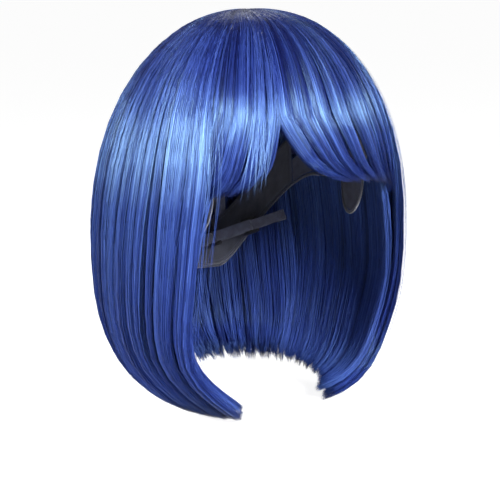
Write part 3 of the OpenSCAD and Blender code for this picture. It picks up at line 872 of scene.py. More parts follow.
class Cap:
    """Outlines of the cap's pieces, as fall angles for each azimuth."""

    def __init__(self):
        self.form = Form()
        self.settings = bpy.context.scene.wig_cap

    def edge(self, azimuth, above=0.0):
        """The cap's edge, or a line at a height above it."""
        return self.form.edge_fall(azimuth) - self.form.fall_of(above)

    def tab(self, azimuth):
        """The cap's edge with the ear tabs."""
        share = np.clip(np.abs((from_front(azimuth) - TAB_AZIMUTH) / TAB_HALF_SPAN), 0, 1)
        drop = self.settings.tab_length * (1 - share**2) ** 0.4
        return self.edge(azimuth) + drop * self.form.fall_of(1.0)

    def net(self, azimuth):
        """The crown net's edge, under the bands at the front and open at the back."""
        away = from_front(azimuth)
        width = mix(
            self.settings.front_width, self.settings.side_width, smooth((away - 40) / 30))
        top = self.edge(azimuth) - (width - NET_LAP) * self.form.fall_of(1.0)
        return np.minimum(top, mix(180, NET_BACK_FALL, smooth((away - 60) / 20)))

    def weft_layer(self, fall):
        """Stand-offs of a weft, which is sewn to the net, the ribbons or the nape band."""
        form = self.form
        ribbon_top = NET_BACK_FALL - form.fall_of(RIBBON_LAP)
        ribbon_low = self.edge(180, self.settings.nape_width - RIBBON_LAP)
        if fall + form.fall_of(WEFT_HEIGHT) < ribbon_top:
            inner = NET[1] + WEFT_CLEARANCE
        elif fall > ribbon_low:
            inner = BAND[1] + WEFT_CLEARANCE
        else:
            inner = WEFT[0]
        return inner, inner + WEFT[1] - WEFT[0]


def soft_samples(count):
    """Even samples from 0 to 1 with one more close to each end, where cloth thins to its edge."""
    inset = 0.3 / count
    return np.concatenate([[0, inset], np.linspace(0, 1, count + 1)[1:-1], [1 - inset, 1]])


def edge_share(samples):
    """Thickness of a cloth as a share, thinned where a sample lies on its edge."""
    return np.where((samples <= 0) | (samples >= 1), 0.4, 1.0)


def run_lengths(points):
    """Length along a line up to each of its points."""
    return np.concatenate([[0], np.cumsum(np.linalg.norm(np.diff(points, axis=0), axis=1))])


def cell_corners(values):
    """The four corners of every cell of a grid, in turn round each cell."""
    return [values[:-1, :-1], values[1:, :-1], values[1:, 1:], values[:-1, 1:]]


def close_sheets(sheets, closed=False):
    """Joins two sheets, of shape (2, rows, columns, 3), into a closed shell.

    Returns points, quads, triangles and uvs in metres, and the flat width and length.
    """
    _, rows, columns, _ = sheets.shape
    ids = np.arange(2 * rows * columns).reshape(2, rows, columns)
    grid = sheets.mean(axis=0)
    if closed:
        ids = np.concatenate([ids, ids[..., :1]], axis=2)
        grid = np.concatenate([grid, grid[:, :1]], axis=1)
    width, length = run_lengths(grid[rows // 2]), run_lengths(grid[:, columns // 2])
    uv = np.stack(np.meshgrid(width, length), axis=-1)
    quads, uvs = [], []

    def add(corners, places):
        """Adds faces by their corners and the corners' places on the cloth."""
        quads.append(np.stack(corners, axis=-1).reshape(-1, 4))
        uvs.append(np.stack(places, axis=-2).reshape(-1, 2))

    add(cell_corners(ids[1]), cell_corners(uv))
    add(cell_corners(ids[0])[::-1], cell_corners(uv)[::-1])
    for row, flip in ((0, 1), (-1, -1)):
        near, far = ids[0, row], ids[1, row]
        add([near[:-1], far[:-1], far[1:], near[1:]][::flip],
            [uv[row, :-1], uv[row, :-1], uv[row, 1:], uv[row, 1:]][::flip])
    if not closed:
        for column, flip in ((0, -1), (-1, 1)):
            near, far = ids[0, :, column], ids[1, :, column]
            add([near[:-1], far[:-1], far[1:], near[1:]][::flip],
                [uv[:-1, column], uv[:-1, column], uv[1:, column], uv[1:, column]][::flip])
    data = (sheets.reshape(-1, 3), np.concatenate(quads), (), np.concatenate(uvs))
    return data, (float(width[-1]), float(length[-1]))


def cap_panel(form, span, upper, lower, layer, columns, rows=6, relief=None):
    """A cloth panel that lies on the cap between two azimuths and two fall angles."""
    start, end = span
    closed = end - start >= 360
    across = np.linspace(0, 1, columns + 1)[:-1] if closed else soft_samples(columns)
    down = soft_samples(rows)[:, None]
    azimuth = mix(start, end, across)
    fall = mix(upper(azimuth), lower(azimuth), down)
    share = edge_share(down) * np.ones_like(fall)
    if not closed:
        share = np.minimum(share, edge_share(across))
    if relief is not None:
        share = share * relief(across, down)
    middle, half = (layer[0] + layer[1]) / 2, (layer[1] - layer[0]) / 2 * share
    azimuth = np.broadcast_to(azimuth, fall.shape)
    sheets = np.stack([
        form.cap(azimuth, fall, middle - half), form.cap(azimuth, fall, middle + half)
    ])
    return close_sheets(sheets, closed)


def add_cloth(name, panel, key, node_names, slot=None, body=WIG):
    """Adds a cloth panel as a piece in place of CAD nodes.
    """
    data, flat = panel
    piece = add_piece(
        name, *data, material_for(key), slot or key, replaces=node_names, body=body, crisp=50)
    return piece


def side_span(side, near, far):
    """A span of azimuths on one side of the head."""
    return (near, far) if side > 0 else (-far, -near)


def stitch_row(form, span, fall_at, standoff, pitch=2.6 * MM, length=1.7 * MM, tilt=0.0):
    """Stitches along a line of the cap, as paths for tubes."""
    azimuth = np.linspace(*span, 600)
    line = form.cap(azimuth, fall_at(azimuth), standoff)
    place = run_lengths(line)
    count = int(place[-1] / pitch)
    middles = (np.arange(count) + 0.5) * place[-1] / count
    steps = np.linspace(-0.5, 0.5, 4)
    wanted = middles[:, None] + length * steps
    at = np.interp(wanted, place, azimuth)
    fall = fall_at(at) + form.fall_of(1.0) * tilt * steps
    rise = standoff + 0.16 * MM * (1 - (2 * steps) ** 2)
    return form.cap(at, fall, np.broadcast_to(rise, at.shape))


def add_stitches(name, rows, radius=0.16 * MM):
    """Adds rows of stitches as one piece."""
    paths = np.concatenate(rows)
    rng = np.random.default_rng(len(paths))
    # Each stitch runs down the thread's fibre map, so it takes the fibre material's painted sheen
    # highlight and painted shade along its length.
    data = tubes(
        paths, np.full(paths.shape[:2], radius), rng.uniform(0.2, 0.9, len(paths)),
        np.linspace(0.9, 0.1, paths.shape[1]), unit(paths), sides=4)
    add_piece(name, *data, material_for("thread"), "band", uv_name=FIBRE_MAP)


def net_mesh(cap, mesh_size, tape=0.15):
    """A net of flat tapes that cross on the diagonal, over the crown down to the net's edge.

    Worked out on a plane where the distance from the middle is the fall angle.
    """
    form = cap.form
    pitch = form.fall_of(mesh_size)
    reach = int(90 / pitch)
    cells = np.arange(-reach, reach)
    lines = (cells[:, None] + np.array([0, tape, 1 - tape])).ravel() * pitch
    across, along = np.meshgrid(lines, lines, indexing="ij")

    def polar(p, q):
        """Azimuth and fall angle of a place on the plane."""
        x, y = (p - q) / math.sqrt(2), (p + q) / math.sqrt(2)
        return np.degrees(np.arctan2(x, y)), np.hypot(x, y)

    middle_p, middle_q = np.meshgrid((cells + 0.5) * pitch, (cells + 0.5) * pitch, indexing="ij")
    azimuth, fall = polar(middle_p, middle_q)
    inside = fall < cap.net(azimuth) - form.fall_of(NET_INSET)
    filled = np.repeat(np.repeat(inside, 3, axis=0), 3, axis=1)
    filled[1::3, 1::3] = False
    filled[-1, :] = filled[:, -1] = False
    size = len(lines)
    ids = np.arange(size * size).reshape(size, size)
    sheet = size * size
    rows, columns = np.nonzero(filled)
    a, b = ids[rows, columns], ids[rows + 1, columns]
    c, d = ids[rows + 1, columns + 1], ids[rows, columns + 1]
    quads = [np.stack([a, b, c, d], -1), np.stack([a, d, c, b], -1) + sheet]
    for axis in (0, 1):
        step = np.diff(filled.astype(int), axis=axis)
        for sign in (1, -1):
            r, k = np.nonzero(step == sign)
            if axis == 0:
                e, f = ids[r + 1, k], ids[r + 1, k + 1]
            else:
                e, f = ids[r + 1, k + 1], ids[r, k + 1]
            if sign < 0:
                e, f = f, e
            quads.append(np.stack([e, f, f + sheet, e + sheet], -1))
    quads = np.concatenate(quads)
    azimuth, fall = polar(across, along)
    points = np.concatenate([
        form.cap(azimuth, fall, NET[0]).reshape(-1, 3),
        form.cap(azimuth, fall, NET[1]).reshape(-1, 3),
    ])
    flat = np.stack([across, along], -1).reshape(-1, 2) / form.fall_of(1.0)
    used, where = np.unique(quads, return_inverse=True)
    quads = where.reshape(quads.shape)
    return points[used], quads, (), flat[used % sheet][quads.ravel()]


class WIG_OT_crown_net(bpy.types.Operator):
    """Makes the crown's net and the film over it that the whorl's hair comes out of"""

    bl_idname = "wig.crown_net"
    bl_label = "Crown Net and Film"

    def execute(self, context):
        cap = Cap()
        form = cap.form
        head = form.head
        data = net_mesh(cap, context.scene.wig_cap.mesh_size)
        net = add_piece(
            "crown_net_mesh", *data, material_for("net"), "net", replaces=["crown_net"])
        across = math.radians(2 * cap.net(90)) * (head.half_width + head.crown_height) / 2
        along = (
            math.radians(cap.net(0) + cap.net(180)) * (head.half_length + head.crown_height) / 2)
        edge = cap_panel(
            form, (0, 360), lambda a: cap.net(a) - form.fall_of(NET_EDGE), cap.net, NET, 240, 4)
        add_cloth("crown_net_edge", edge, "net", ["crown_net"])
        film, _ = cap_panel(
            form, (0, 360), level_line(FILM_HOLE), level_line(FILM_REACH), SKIN, 96, 14)
        spread = 2 * math.radians(FILM_REACH)
        disc = (spread * (head.half_width + SKIN[0]), spread * (head.half_length + SKIN[0]))
        add_cloth(
            "skin_top_film", (film, disc), "skin", ["skin_top"])
        return {"FINISHED"}


class WIG_OT_bands(bpy.types.Operator):
    """Makes the bands round the cap's edge, their linings and the binding"""

    bl_idname = "wig.bands"
    bl_label = "Bands, Linings and Binding"

    def execute(self, context):
        cap = Cap()
        form, sizes = cap.form, context.scene.wig_cap
        gap = float(form.turn_of(SEAM_GAP, 90))
        front = FRONT_BAND_END - float(form.turn_of(LINING_INSET, 60))
        nape = NAPE_BAND_START + float(form.turn_of(LINING_INSET, 100))
        side = (FRONT_BAND_END + gap, NAPE_BAND_START - gap)
        pieces = [
            ("front_band", (-FRONT_BAND_END, FRONT_BAND_END), sizes.front_width, BAND, "band",
             96),
            ("front_lining", (-front, front), sizes.front_width - LINING_INSET, LINING,
             "velvet", 96),
            ("side_band_left", side, sizes.side_width, BAND, "band", 48),
            ("side_band_right", (-side[1], -side[0]), sizes.side_width, BAND, "band", 48),
            ("nape_band", (NAPE_BAND_START, 360 - NAPE_BAND_START), sizes.nape_width, BAND,
             "band", 110),
            ("nape_lining", (nape, 360 - nape), sizes.nape_width - LINING_INSET, LINING,
             "velvet", 110),
        ]
        rows = []
        for node, span, width, layer, key, columns in pieces:
            panel = cap_panel(
                form, span, lambda a: cap.edge(a, width), cap.edge, layer, columns)
            add_cloth(f"{node}_cloth", panel, key, [node])
            standoff = LINING[0] - STITCH_LIFT if layer is LINING else layer[1] + STITCH_LIFT
            for above in (SEAM_INSET, width - SEAM_INSET):
                rows.append(stitch_row(
                    form, (span[0] + 1, span[1] - 1), lambda a: cap.edge(a, above), standoff))
        self.add_binding(cap)
        for standoff in (BAND[1] + STITCH_LIFT, LINING[0] - STITCH_LIFT):
            rows.append(stitch_row(
                form, (0, 360), lambda a: cap.tab(a) + form.fall_of(BINDING_SEAM), standoff))
        add_stitches("band_stitches", rows)
        return {"FINISHED"}

    def add_binding(self, cap):
        """A rounded tape along the whole edge and round the ear tabs."""
        form = cap.form
        step = 1.5
        first, last = TAB_AZIMUTH - TAB_HALF_SPAN, TAB_AZIMUTH + TAB_HALF_SPAN
        tab = np.linspace(first - 0.5, last + 0.5, 61)
        half_turn = np.concatenate([
            np.arange(0, first - 1, step), tab, np.arange(last + 1, 180, step), [180]])
        azimuth = np.concatenate([half_turn, 360 - half_turn[-2:0:-1]])
        top = cap.tab(azimuth) + form.fall_of(SEAM_GAP)
        low = top + form.fall_of(BINDING_HEIGHT)
        turn = np.linspace(0, 2 * np.pi, 11)[:-1, None]
        lean, bulge = np.cos(turn), np.sin(turn)
        roundness = 0.6
        lean = np.sign(lean) * np.abs(lean) ** roundness
        bulge = np.sign(bulge) * np.abs(bulge) ** roundness
        fall = mix(top, low, 0.5 + 0.5 * bulge)
        standoff = mix(LINING[0], BAND[1], 0.5 + 0.5 * lean) * np.ones_like(fall)
        rings = form.cap(np.broadcast_to(azimuth, fall.shape), fall, standoff)
        data = loop_mesh(rings)
        add_piece("edge_binding_tape", *data, material_for("velvet"), "velvet",
                  replaces=["edge_binding"])


def loop_mesh(rings):
    """A closed loop of shape (section points, places along, 3)."""
    sides, places, _ = rings.shape
    ids = np.arange(sides * places).reshape(sides, places)
    ids = np.concatenate([ids, ids[:1]], axis=0)
    ids = np.concatenate([ids, ids[:, :1]], axis=1)
    along = np.concatenate([[0], np.cumsum(
        np.linalg.norm(np.roll(rings[0], -1, axis=0) - rings[0], axis=1))])
    around = np.arange(sides + 1) * 0.8 * MM
    uv = np.stack(np.meshgrid(along, around), axis=-1)
    quads = np.stack(cell_corners(ids), axis=-1).reshape(-1, 4)
    uvs = np.stack(cell_corners(uv), axis=-2).reshape(-1, 2)
    return rings.reshape(-1, 3), quads, (), uvs


class WIG_OT_ear_tabs(bpy.types.Operator):
    """Makes the ear tabs and the bendable stays in them"""

    bl_idname = "wig.ear_tabs"
    bl_label = "Ear Tabs"

    def execute(self, context):
        cap = Cap()
        form, sizes = cap.form, context.scene.wig_cap
        half_stay = float(form.turn_of(STAY_WIDTH / 2, 90))
        span = (TAB_AZIMUTH - 0.97 * TAB_HALF_SPAN, TAB_AZIMUTH + 0.97 * TAB_HALF_SPAN)
        rows = []
        for name, side in SIDES.items():
            tab = cap_panel(
                form, side_span(side, *span), lambda a: cap.edge(a, -SEAM_GAP / 2), cap.tab,
                BAND, 40, 10)
            add_cloth(f"ear_tab_{name}_cloth", tab, "band", [f"ear_tab_{name}"])
            rise = form.fall_of(sizes.side_width - NET_LAP - 2 * MM)
            drop = form.fall_of(sizes.tab_length - 5 * MM)
            edge = float(cap.edge(np.array(float(TAB_AZIMUTH))))
            stay = cap_panel(
                form, side_span(side, TAB_AZIMUTH - half_stay, TAB_AZIMUTH + half_stay),
                level_line(edge - rise), level_line(edge + drop), STAY, 8, 30)
            add_cloth(f"ear_stay_{name}_strip", stay, "stay", [f"ear_stay_{name}"])
            for share in (0.80, 0.62):
                rows.append(stitch_row(
                    form, side_span(side, span[0] + 1.2, span[1] - 1.2),
                    lambda a: mix(cap.edge(a), cap.tab(a), share), BAND[1] + STITCH_LIFT))
        add_stitches("ear_tab_stitches", rows)
        return {"FINISHED"}


class WIG_OT_ribbons(bpy.types.Operator):
    """Makes the elastic ribbons between the net and the bands"""

    bl_idname = "wig.ribbons"
    bl_label = "Elastic Ribbons"

    def execute(self, context):
        cap = Cap()
        form, sizes = cap.form, context.scene.wig_cap
        ribbons = [("ribbon_back", 180, sizes.nape_width)]
        for name, side in SIDES.items():
            for place, azimuth in RIBBON_AZIMUTHS.items():
                width = sizes.side_width if place == "ear" else sizes.nape_width
                ribbons.append((f"ribbon_{place}_{name}", side * azimuth, width))
        for node, azimuth, width in ribbons:
            middle = np.array(float(azimuth))
            top = float(cap.net(middle)) - form.fall_of(RIBBON_LAP)
            low = float(cap.edge(middle, width - RIBBON_LAP))
            across, down = soft_samples(28), soft_samples(24)[:, None]
            fall = mix(top, low, down) + 0 * across
            turn = form.turn_of(sizes.ribbon_width, fall) * (across - 0.5)
            ribs = 0.8 + 0.2 * np.cos(2 * np.pi * RIBBON_RIBS * across)
            share = np.minimum(edge_share(down), edge_share(across)) * ribs
            centre, half = (RIBBON[0] + RIBBON[1]) / 2, (RIBBON[1] - RIBBON[0]) / 2 * share
            sheets = np.stack([
                form.cap(azimuth + turn, fall, centre - half),
                form.cap(azimuth + turn, fall, centre + half),
            ])
            add_cloth(f"{node}_elastic", close_sheets(sheets), "ribbon", [node])
        return {"FINISHED"}


class WIG_OT_wefts(bpy.types.Operator):
    """Makes the sewn headers that the hair hangs from"""

    bl_idname = "wig.wefts"
    bl_label = "Wefts"

    def execute(self, context):
        cap = Cap()
        form = cap.form
        fringe_span = (4 - FRONT_BAND_END, FRONT_BAND_END - 4)
        wefts = [(node, fall, fringe_span) for node, fall in FRINGE_WEFTS.items()]
        places = np.arange(66, 171)
        for number in range(WEFT_COUNT):
            fall = FIRST_WEFT + WEFT_STEP * number
            start = places[form.edge_fall(places) > fall + form.fall_of(6 * MM)][0]
            wefts.append((f"weft_{number + 1}", fall, (float(start), 360.0 - start)))
        rows = []
        for node, fall, span in wefts:
            layer = cap.weft_layer(fall)
            radius = MEAN_RADIUS * math.sin(math.radians(fall))
            bundles = int(radius * math.radians(span[1] - span[0]) / BUNDLE_WIDTH)
            height = form.fall_of(WEFT_HEIGHT)
            panel = cap_panel(
                form, span, level_line(fall), level_line(fall + height), layer, 5 * bundles, 3,
                lambda across, down: 0.72 + 0.28 * np.cos(2 * np.pi * bundles * across))
            add_cloth(f"{node}_header", panel, "weft", [node])
            for standoff in (layer[1] + 0.05 * MM, layer[0] - 0.05 * MM):
                for share in (0.3, 0.7):
                    rows.append(stitch_row(
                        form, (span[0] + 0.5, span[1] - 0.5), level_line(fall + share * height),
                        standoff, pitch=3.0 * MM, length=2.4 * MM, tilt=0.6 * MM))
        add_stitches("weft_stitches", rows, 0.12 * MM)
        return {"FINISHED"}


# ---- Adjusters ----


class StrapFrame:
    """The straight line of a strap inside the nape: x runs along it and z into the cap."""

    # Levels of the returning layer and of the main layer, lower face and upper face.
    top = (1.0 * MM, 1.9 * MM)
    main = (-3.1 * MM, -2.2 * MM)
    # Folds round the ring and round the slider's bar, at the middle of the strap's thickness.
    fold_height = -0.6 * MM
    fold_radius = 2.05 * MM
    loop_radius = 1.45 * MM
    anchor_length = 8 * MM
    ring_reach = 5.1 * MM
    tab_length = 9 * MM

    def __init__(self, form, side):
        head = form.head

        def place(azimuth, drop, depth):
            """A place inside the cap, at a drop below the head's widest level."""
            fall = math.degrees(math.acos(-drop / head.crown_height))
            return form.cap(float(azimuth), fall, -depth)

        self.side = side
        self.start = place(114, 30 * MM, 4.4 * MM)
        finish = place(167, 52 * MM, 3.1 * MM)
        self.span = float(np.linalg.norm(finish - self.start))
        self.along = (finish - self.start) / self.span
        middle = (self.start + finish) / 2
        normal = unit(middle / np.array([
            head.half_width, head.half_length, head.crown_height]) ** 2)
        self.inward = -unit(normal - (normal @ self.along) * self.along)
        self.across = np.cross(self.inward, self.along)
        self.run = self.span - self.ring_reach - self.tab_length
        self.slider = self.run / 2 + 1 * MM

    def world(self, points):
        """Points of the strap's frame, of shape (..., 3), in the row frame."""
        axes = np.stack([self.along, self.across, self.inward])
        return (self.start + points @ axes) * np.array([self.side, 1, 1])

    def cloth(self, sheets):
        """A closed cloth from a lower and an upper sheet of points in the row frame."""
        return close_sheets(np.stack(sheets if self.side < 0 else sheets[::-1]))


def arc(centre, radius, start, end, steps=14):
    """Points of a half circle in the strap's x and z."""
    turn = np.radians(np.linspace(start, end, steps))
    return np.stack([centre[0] + radius * np.cos(turn), centre[1] + radius * np.sin(turn)], -1)


def strap_sheet(strap, path, width, thickness, ribs=6):
    """A ribbed elastic strap along a path of x and z."""
    keep = np.concatenate([[True], np.linalg.norm(np.diff(path, axis=0), axis=1) > 1e-6])
    path = path[keep]
    across = soft_samples(24)
    tangent = unit(np.gradient(path, axis=0))
    normal = np.stack([-tangent[:, 1], tangent[:, 0]], -1)
    share = edge_share(across) * (0.84 + 0.16 * np.cos(2 * np.pi * ribs * across))
    half = thickness / 2 * share
    sheets = []
    for sign in (-1, 1):
        flat = path[:, None] + sign * normal[:, None] * half[None, :, None]
        y = np.broadcast_to((across - 0.5) * width, flat.shape[:2])
        sheets.append(strap.world(np.stack([flat[..., 0], y, flat[..., 1]], -1)))
    return strap.cloth(sheets)


def pad_sheet(strap, x_span, z_span, width):
    """A soft flat pad in the strap's frame."""
    along, across = soft_samples(10)[:, None], soft_samples(10)
    share = np.minimum(edge_share(along), edge_share(across))
    x = mix(x_span[0], x_span[1], along) + 0 * across
    y = (across - 0.5) * width + 0 * along
    middle, half = (z_span[0] + z_span[1]) / 2, (z_span[1] - z_span[0]) / 2 * share
    sheets = [strap.world(np.stack([x, y, middle + sign * half], -1)) for sign in (-1, 1)]
    return strap.cloth(sheets)


def box_stitches(strap, x_span, z, width, rise):
    """A sewn box with a cross in it, as stitch paths."""
    x0, x1 = x_span
    y = width / 2 - 1.1 * MM
    corners = [(x0, -y), (x1, -y), (x1, y), (x0, y), (x0, -y), (x1, y), (x0, y), (x1, -y)]
    rows = []
    for (ax, ay), (bx, by) in zip(corners[:-1], corners[1:]):
        length = math.hypot(bx - ax, by - ay)
        count = max(2, int(length / (1.7 * MM)))
        starts = np.arange(count) / count
        share = starts[:, None] + np.linspace(0.12, 0.8, 4) / count
        height = z + rise * np.array([0, 1, 1, 0]) + 0 * share
        rows.append(strap.world(np.stack([mix(ax, bx, share), mix(ay, by, share), height], -1)))
    return rows


class WIG_OT_adjusters(bpy.types.Operator):
    """Makes the elastic straps at the nape and finishes their rings and sliders"""

    bl_idname = "wig.adjusters"
    bl_label = "Strap Adjusters"

    def execute(self, context):
        form = Form()
        width = context.scene.wig_cap.strap_width
        thickness = StrapFrame.top[1] - StrapFrame.top[0]
        low, high = StrapFrame.main
        rows = []
        for name, side in SIDES.items():
            strap = StrapFrame(form, side)
            run, slider = strap.run, strap.slider
            centre = (run, strap.fold_height)
            main_z, top_z = (low + high) / 2, sum(strap.top) / 2
            main = np.concatenate([
                np.linspace((0.0, main_z), (run, main_z), 40),
                arc(centre, strap.fold_radius, -90, 90),
            ])
            add_cloth(f"strap_{name}_elastic", strap_sheet(strap, main, width, thickness),
                      "ribbon", [f"strap_{name}"])
            back = np.concatenate([
                np.linspace((run, top_z), (slider, top_z), 30),
                arc((slider, 0.0), strap.loop_radius, 90, 270),
                np.linspace((slider, -top_z), (slider + 9 * MM, -top_z), 8),
            ])
            piece = add_cloth(
                f"strap_return_{name}_elastic", strap_sheet(strap, back, width, thickness),
                "ribbon", [f"strap_return_{name}"], body=None)
            fixed, moving = strap.world(np.array([
                [run - 0.5 * MM, 0, top_z], [slider + 9.5 * MM, 0, top_z]]))
            tuple(fixed)
            tuple(moving)
            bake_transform(piece)
            far = run + strap.ring_reach
            tab_end = strap.span
            tab = np.concatenate([
                np.linspace((tab_end, main_z), (far, main_z), 10),
                arc((far, strap.fold_height), strap.fold_radius, 270, 90),
                np.linspace((far, top_z), (tab_end, top_z), 10),
            ])
            add_cloth(f"ring_tab_{name}_fold", strap_sheet(strap, tab, width, thickness),
                      "ribbon", [f"ring_tab_{name}"])
            add_cloth(
                f"ring_tab_{name}_filling",
                pad_sheet(strap, (far + 2.95 * MM, tab_end - 0.2 * MM),
                          (high + 0.02 * MM, strap.top[0] - 0.02 * MM), width - 0.6 * MM),
                "band", [f"ring_tab_{name}"])
            add_cloth(
                f"strap_anchor_{name}_pad",
                pad_sheet(strap, (0, strap.anchor_length), (low - 1.3 * MM, low - 0.1 * MM),
                          width),
                "velvet", [f"strap_anchor_{name}"])
            rows += box_stitches(
                strap, (1.2 * MM, strap.anchor_length - 1.2 * MM), high + 0.03 * MM, width,
                0.14 * MM)
            rows += box_stitches(
                strap, (far + 3.6 * MM, tab_end - 1.0 * MM), strap.top[1] + 0.03 * MM, width,
                0.14 * MM)
            for node in (f"slider_{name}", f"ring_{name}"):
                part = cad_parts[node]
                part.data.materials.clear()
                part.data.materials.append(material_for("adjuster"))
        add_stitches("strap_stitches", rows, 0.13 * MM)
        return {"FINISHED"}


class WIG_OT_label(bpy.types.Operator):
    """Makes the blank satin label inside the nape"""

    bl_idname = "wig.label"
    bl_label = "Care Label"

    def execute(self, context):
        cap = Cap()
        form = cap.form
        width, height = 20 * MM, 13 * MM
        top = float(cap.edge(180, context.scene.wig_cap.nape_width - 4 * MM))
        across, down = soft_samples(24), soft_samples(16)[:, None]
        fall = top + form.fall_of(height) * down + 0 * across
        turn = form.turn_of(width, top) * (across - 0.5)
        hang = 0.15 * MM + 1.3 * MM * down**2 * (0.7 + 0.3 * np.cos(5 * (across - 0.3)))
        half = 0.12 * MM * np.minimum(edge_share(down), edge_share(across))
        sheets = np.stack([
            form.cap(180 + turn, fall, -hang - half), form.cap(180 + turn, fall, -hang + half)])
        add_cloth("care_label_satin", close_sheets(sheets), "label", ["care_label"])
        half_seam = float(form.turn_of(width / 2 - 1 * MM, top))
        rows = [stitch_row(
            form, (180 - half_seam, 180 + half_seam),
            level_line(top + form.fall_of(1.2 * MM)), -0.36 * MM, 2.0 * MM, 1.4 * MM)]
        add_stitches("label_stitches", rows, 0.12 * MM)
        return {"FINISHED"}


# ---- Hair ----


# Fall angle of the first roots, their spread, and the number of fine locks in each big lock.
ROOT_FALL = 3
ROOT_SPREAD = 1.5
FINE_LOCKS = 7
# Sway of whole locks and drift of single strands, in degrees, and the locks' waves down the hair.
SWAY = 0.9
SWAY_WAVES = 0.8
DRIFT = 0.35
# Spread of the strands' tones, and what a tone loses through the depth of the hair.
TONE_SPREAD = 0.15
DEPTH_SHADE = 0.12
# Loose hairs end above the turn of the ends.
LAST_LOOSE_END = 148
# Where layers of strands lie, from 0 at the hair's surface to 1 at its inside.
OUTER_LAYER = (0.0, 0.5)
INNER_LAYER = (0.45, 1.0)
INNER_FRINGE = (0.4, 1.0)
# The end of the fibre map, as a fall angle just past the longest ends.
END_OF_MAP = 164


def ramp_in(progress, start, end):
    """An ease from 0 to 1 between two shares of a strand's length."""
    return smooth((progress - start) / (end - start))


def gather(rng, place, locks, tightness, progress):
    """Draws strands together into locks of uneven width.

    place is each strand's place across the panel. Returns the places on the way down, each
    strand's distance from the middle of its lock, from -1 to 1, and its lock's number.
    """
    low, high = place.min() - 1e-6, place.max() + 1e-6
    cuts = np.concatenate([[0], np.cumsum(rng.uniform(0.5, 1.6, locks))])
    cuts = low + (high - low) * cuts / cuts[-1]
    lock = np.searchsorted(cuts, place) - 1
    left, right = cuts[lock], cuts[lock + 1]
    middle = (left + right) / 2
    away = (place - middle) / ((right - left) / 2)
    gathered = place[:, None] + (middle - place)[:, None] * tightness(progress)
    return gathered, away, lock


def per_lock(rng, lock, spread):
    """One random value for each lock, given to its strands."""
    return rng.normal(0, spread, lock.max() + 1)[lock]


def wander(rng, count, progress, size):
    """A slow side to side drift for each strand, nothing at the root."""
    phase = rng.uniform(0, 2 * np.pi, (count, 1))
    pace = rng.uniform(0.6, 1.4, (count, 1))
    drift = np.sin(2 * np.pi * pace * progress + phase) - np.sin(phase)
    return size * drift * rng.uniform(0.3, 1.0, (count, 1))


def strand_radii(rng, count, progress, half_width):
    """Radius along each strand, finer at the root and drawn to a point at the tip."""
    body = 1 - 0.35 * (1 - ramp_in(progress, 0.0, 0.08))
    tip = 1 - 0.88 * ramp_in(progress, 0.8, 1.0) ** 1.5
    return half_width * rng.uniform(0.75, 1.3, (count, 1)) * body * tip


def outward_of(paths):
    """Roughly the hair's outward direction at each point."""
    return unit(paths * np.array([1.0, 0.9, 0.45]))


def grooves(rng, big, fine, bow):
    """Depth of each strand in the grooves between locks.

    big and fine hold the lock of each strand, its distance from the lock's middle and the usual
    depth at the lock's edge. bow is how far the big locks' own surface falls to their edges.
    """
    (big_lock, big_away, big_depth), (fine_lock, fine_away, fine_depth) = big, fine
    groove = np.abs(per_lock(rng, big_lock, big_depth)) * big_away**8
    groove = groove + np.abs(per_lock(rng, fine_lock, fine_depth)) * fine_away**2
    return (groove + bow * big_away**2)[:, None]


def strand_count(full):
    """Number of strands to lay, from the number for full hair."""
    return max(8, int(full * bpy.context.scene.wig_fibre.amount))


def add_strands(rng, name, strands, node_names, key="hair", thickness=1.0):
    """Adds strands, as paths, progress along them, fall angles and tones, in place of nodes."""
    paths, progress, fall, tones = strands
    fibre = bpy.context.scene.wig_fibre
    radii = strand_radii(rng, len(paths), progress, fibre.half_width * thickness)
    data = tubes(
        paths, radii, tones, 1 - fall / END_OF_MAP, outward_of(paths), flatness=fibre.flatness)
    add_piece(
        name, *data, material_for(key), key, replaces=node_names, uv_name=FIBRE_MAP)


